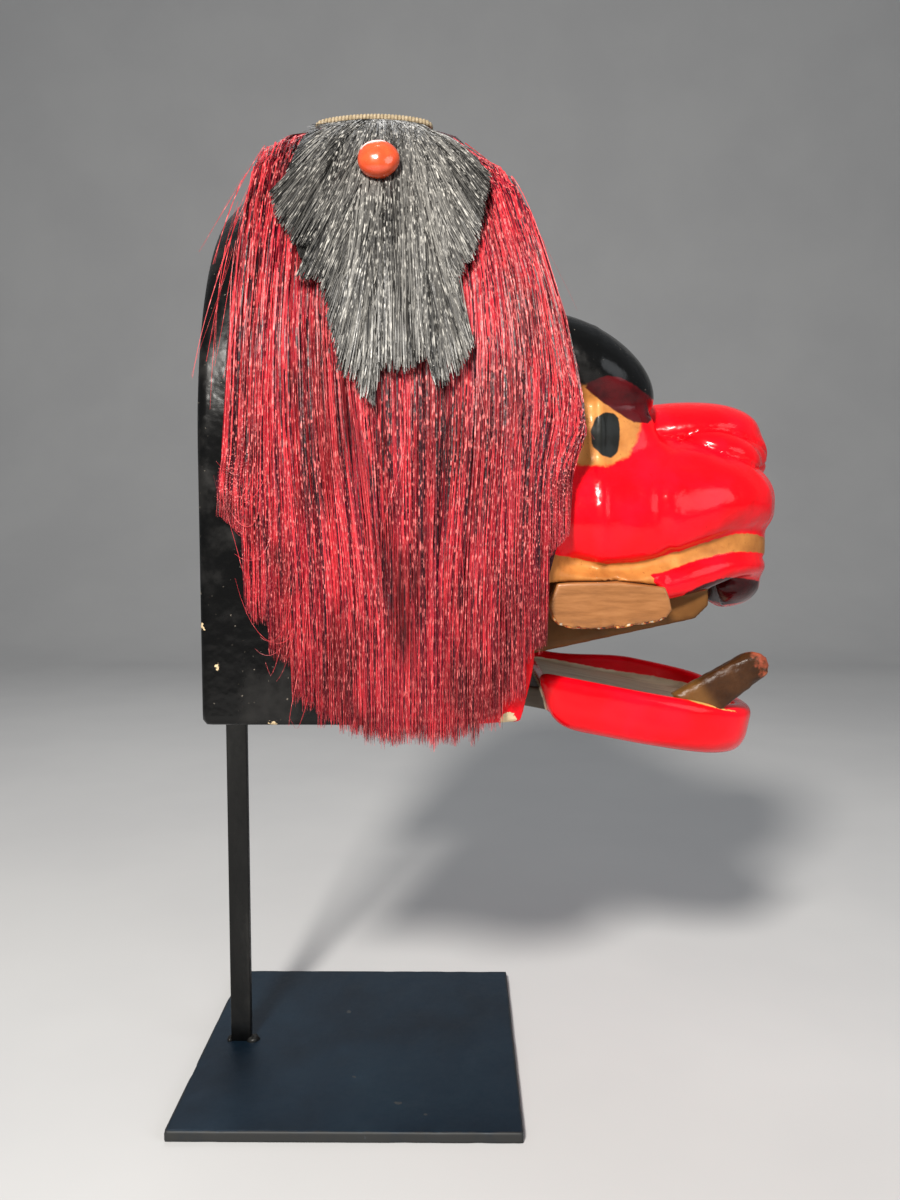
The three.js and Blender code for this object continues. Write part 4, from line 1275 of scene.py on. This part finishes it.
dress(make_head(), head_paint(), "head")
dress(make_jaw(), jaw_paint(), "lower_jaw", JAW)
dress(make_fang(), fang_paint(), "lower_fang", JAW)
tooth = tooth_paint()
for name, side, _ in SIDES:
    dress(make_tooth(f"{name}_tooth_board", side), tooth, f"{name}_side_tooth")

# The last colour of each hair is its painted glint.
red_hair = hair_paint("mane_hair", (0.03, 0.0015, 0.007), (0.27, 0.008, 0.021), (0.60, 0.032, 0.042),
                      (0.84, 0.20, 0.19), 0.42)
grey_hair = hair_paint("tuft_hair", (0.016, 0.015, 0.014), (0.08, 0.077, 0.072), (0.17, 0.163, 0.15),
                       (0.48, 0.46, 0.42), 0.4)
coral = bead_paint()
for name, side, seed in SIDES:
    mane, tuft = f"{name}_mane", f"{name}_tuft"
    dress(make_mane(f"{mane}_hair", side, MANE_HAIRS, seed), red_hair, mane)
    dress(make_strays(f"{name}_stray_hair", side, seed + 1), red_hair, mane, stands_in=False)
    dress(mane_sheet(f"{mane}_under", side), red_hair, mane, stands_in=False)
    dress(make_tuft(f"{tuft}_hair", side, TUFT_HAIRS, seed + 2), grey_hair, tuft)
    dress(tuft_sheet(f"{tuft}_under", side), grey_hair, tuft, stands_in=False)
    dress(make_bead(f"{name}_coral_bead", side), coral, f"{name}_bead")

dress(make_band(), tape_paint(), "hair_band")
dress(make_plate(), steel_paint(), "stand_plate")
bar = bar_paint()
dress(make_bar(), bar, "stand_upright")
dress(make_weld(), bar, "stand_upright", stands_in=False)
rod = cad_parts["jaw_pivot_rod"]
rod.data.materials.clear()
rod.data.materials.append(wood_paint())


# ---- stage, light and camera

def add_light(name, place, aim, energy, size, colour=(1, 1, 1)):
    """A round soft light, in metres and watts, turned to its aim."""
    data = bpy.data.lights.new(name, "AREA")
    data.energy = energy
    data.color = colour
    data.shape = "DISK"
    data.size = size
    obj = bpy.data.objects.new(name, data)
    bpy.context.scene.collection.objects.link(obj)
    obj.location = place
    way = np.array(aim, float) - np.array(place, float)
    yaw = math.atan2(way[1], way[0])
    pitch = math.atan2(-way[2], math.hypot(way[0], way[1]))
    obj.rotation_euler = (math.pi / 2 - pitch, 0, yaw - math.pi / 2)


def make_stage():
    n = 48
    depth, rise, bend = 3.0, 3.2, 1.2
    profile = [(-2.5, 0.0), (depth - bend, 0.0)]
    turns = np.linspace(0.05, math.pi / 2, 14)
    profile += [(depth - bend + bend * math.sin(a), bend - bend * math.cos(a)) for a in turns]
    profile += [(depth, rise)]
    xs = np.linspace(-5, 5, n)
    points = [(x, y, z) for y, z in profile for x in xs]
    grid = np.arange(len(points)).reshape(len(profile), n)
    quads = np.stack([grid[:-1, :-1], grid[:-1, 1:], grid[1:, 1:], grid[1:, :-1]], -1).reshape(-1, 4)
    obj = new_object("stage_floor", np.array(points) / MM, quads)
    obj.data.materials.append(floor_paint())


make_stage()
add_light("key", (-0.32, -1.45, 1.3), (0.05, 0, 0.38), 60, 0.3, (1.0, 0.96, 0.90))
add_light("fill", (1.5, -1.1, 0.9), (0.05, 0, 0.35), 10, 1.2, (0.92, 0.96, 1.0))
add_light("back", (-0.3, 0.9, 1.6), (0, 0, 0.4), 6, 0.9)

world = bpy.data.worlds.new("studio")
bpy.context.scene.world = world
world.use_nodes = True
world.node_tree.nodes["Background"].inputs["Color"].default_value = (0.9, 0.95, 1.0, 1)
world.node_tree.nodes["Background"].inputs["Strength"].default_value = 0.22

# The camera fitted to the photograph, in metres and radians
CAMERA_PLACE = (0.0632, -0.6248, 0.3415)
CAMERA_DIP = 0.0744
CAMERA_TURN = 0.0078
camera = bpy.data.cameras.new("camera")
camera.sensor_fit = "VERTICAL"
camera.sensor_height = 36.0
camera.lens = 29.7
view = bpy.data.objects.new("camera", camera)
bpy.context.scene.collection.objects.link(view)
view.location = CAMERA_PLACE
view.rotation_euler = (math.pi / 2 - CAMERA_DIP, 0, CAMERA_TURN)
bpy.context.scene.camera = view
bpy.context.scene.view_settings.view_transform = "Standard"
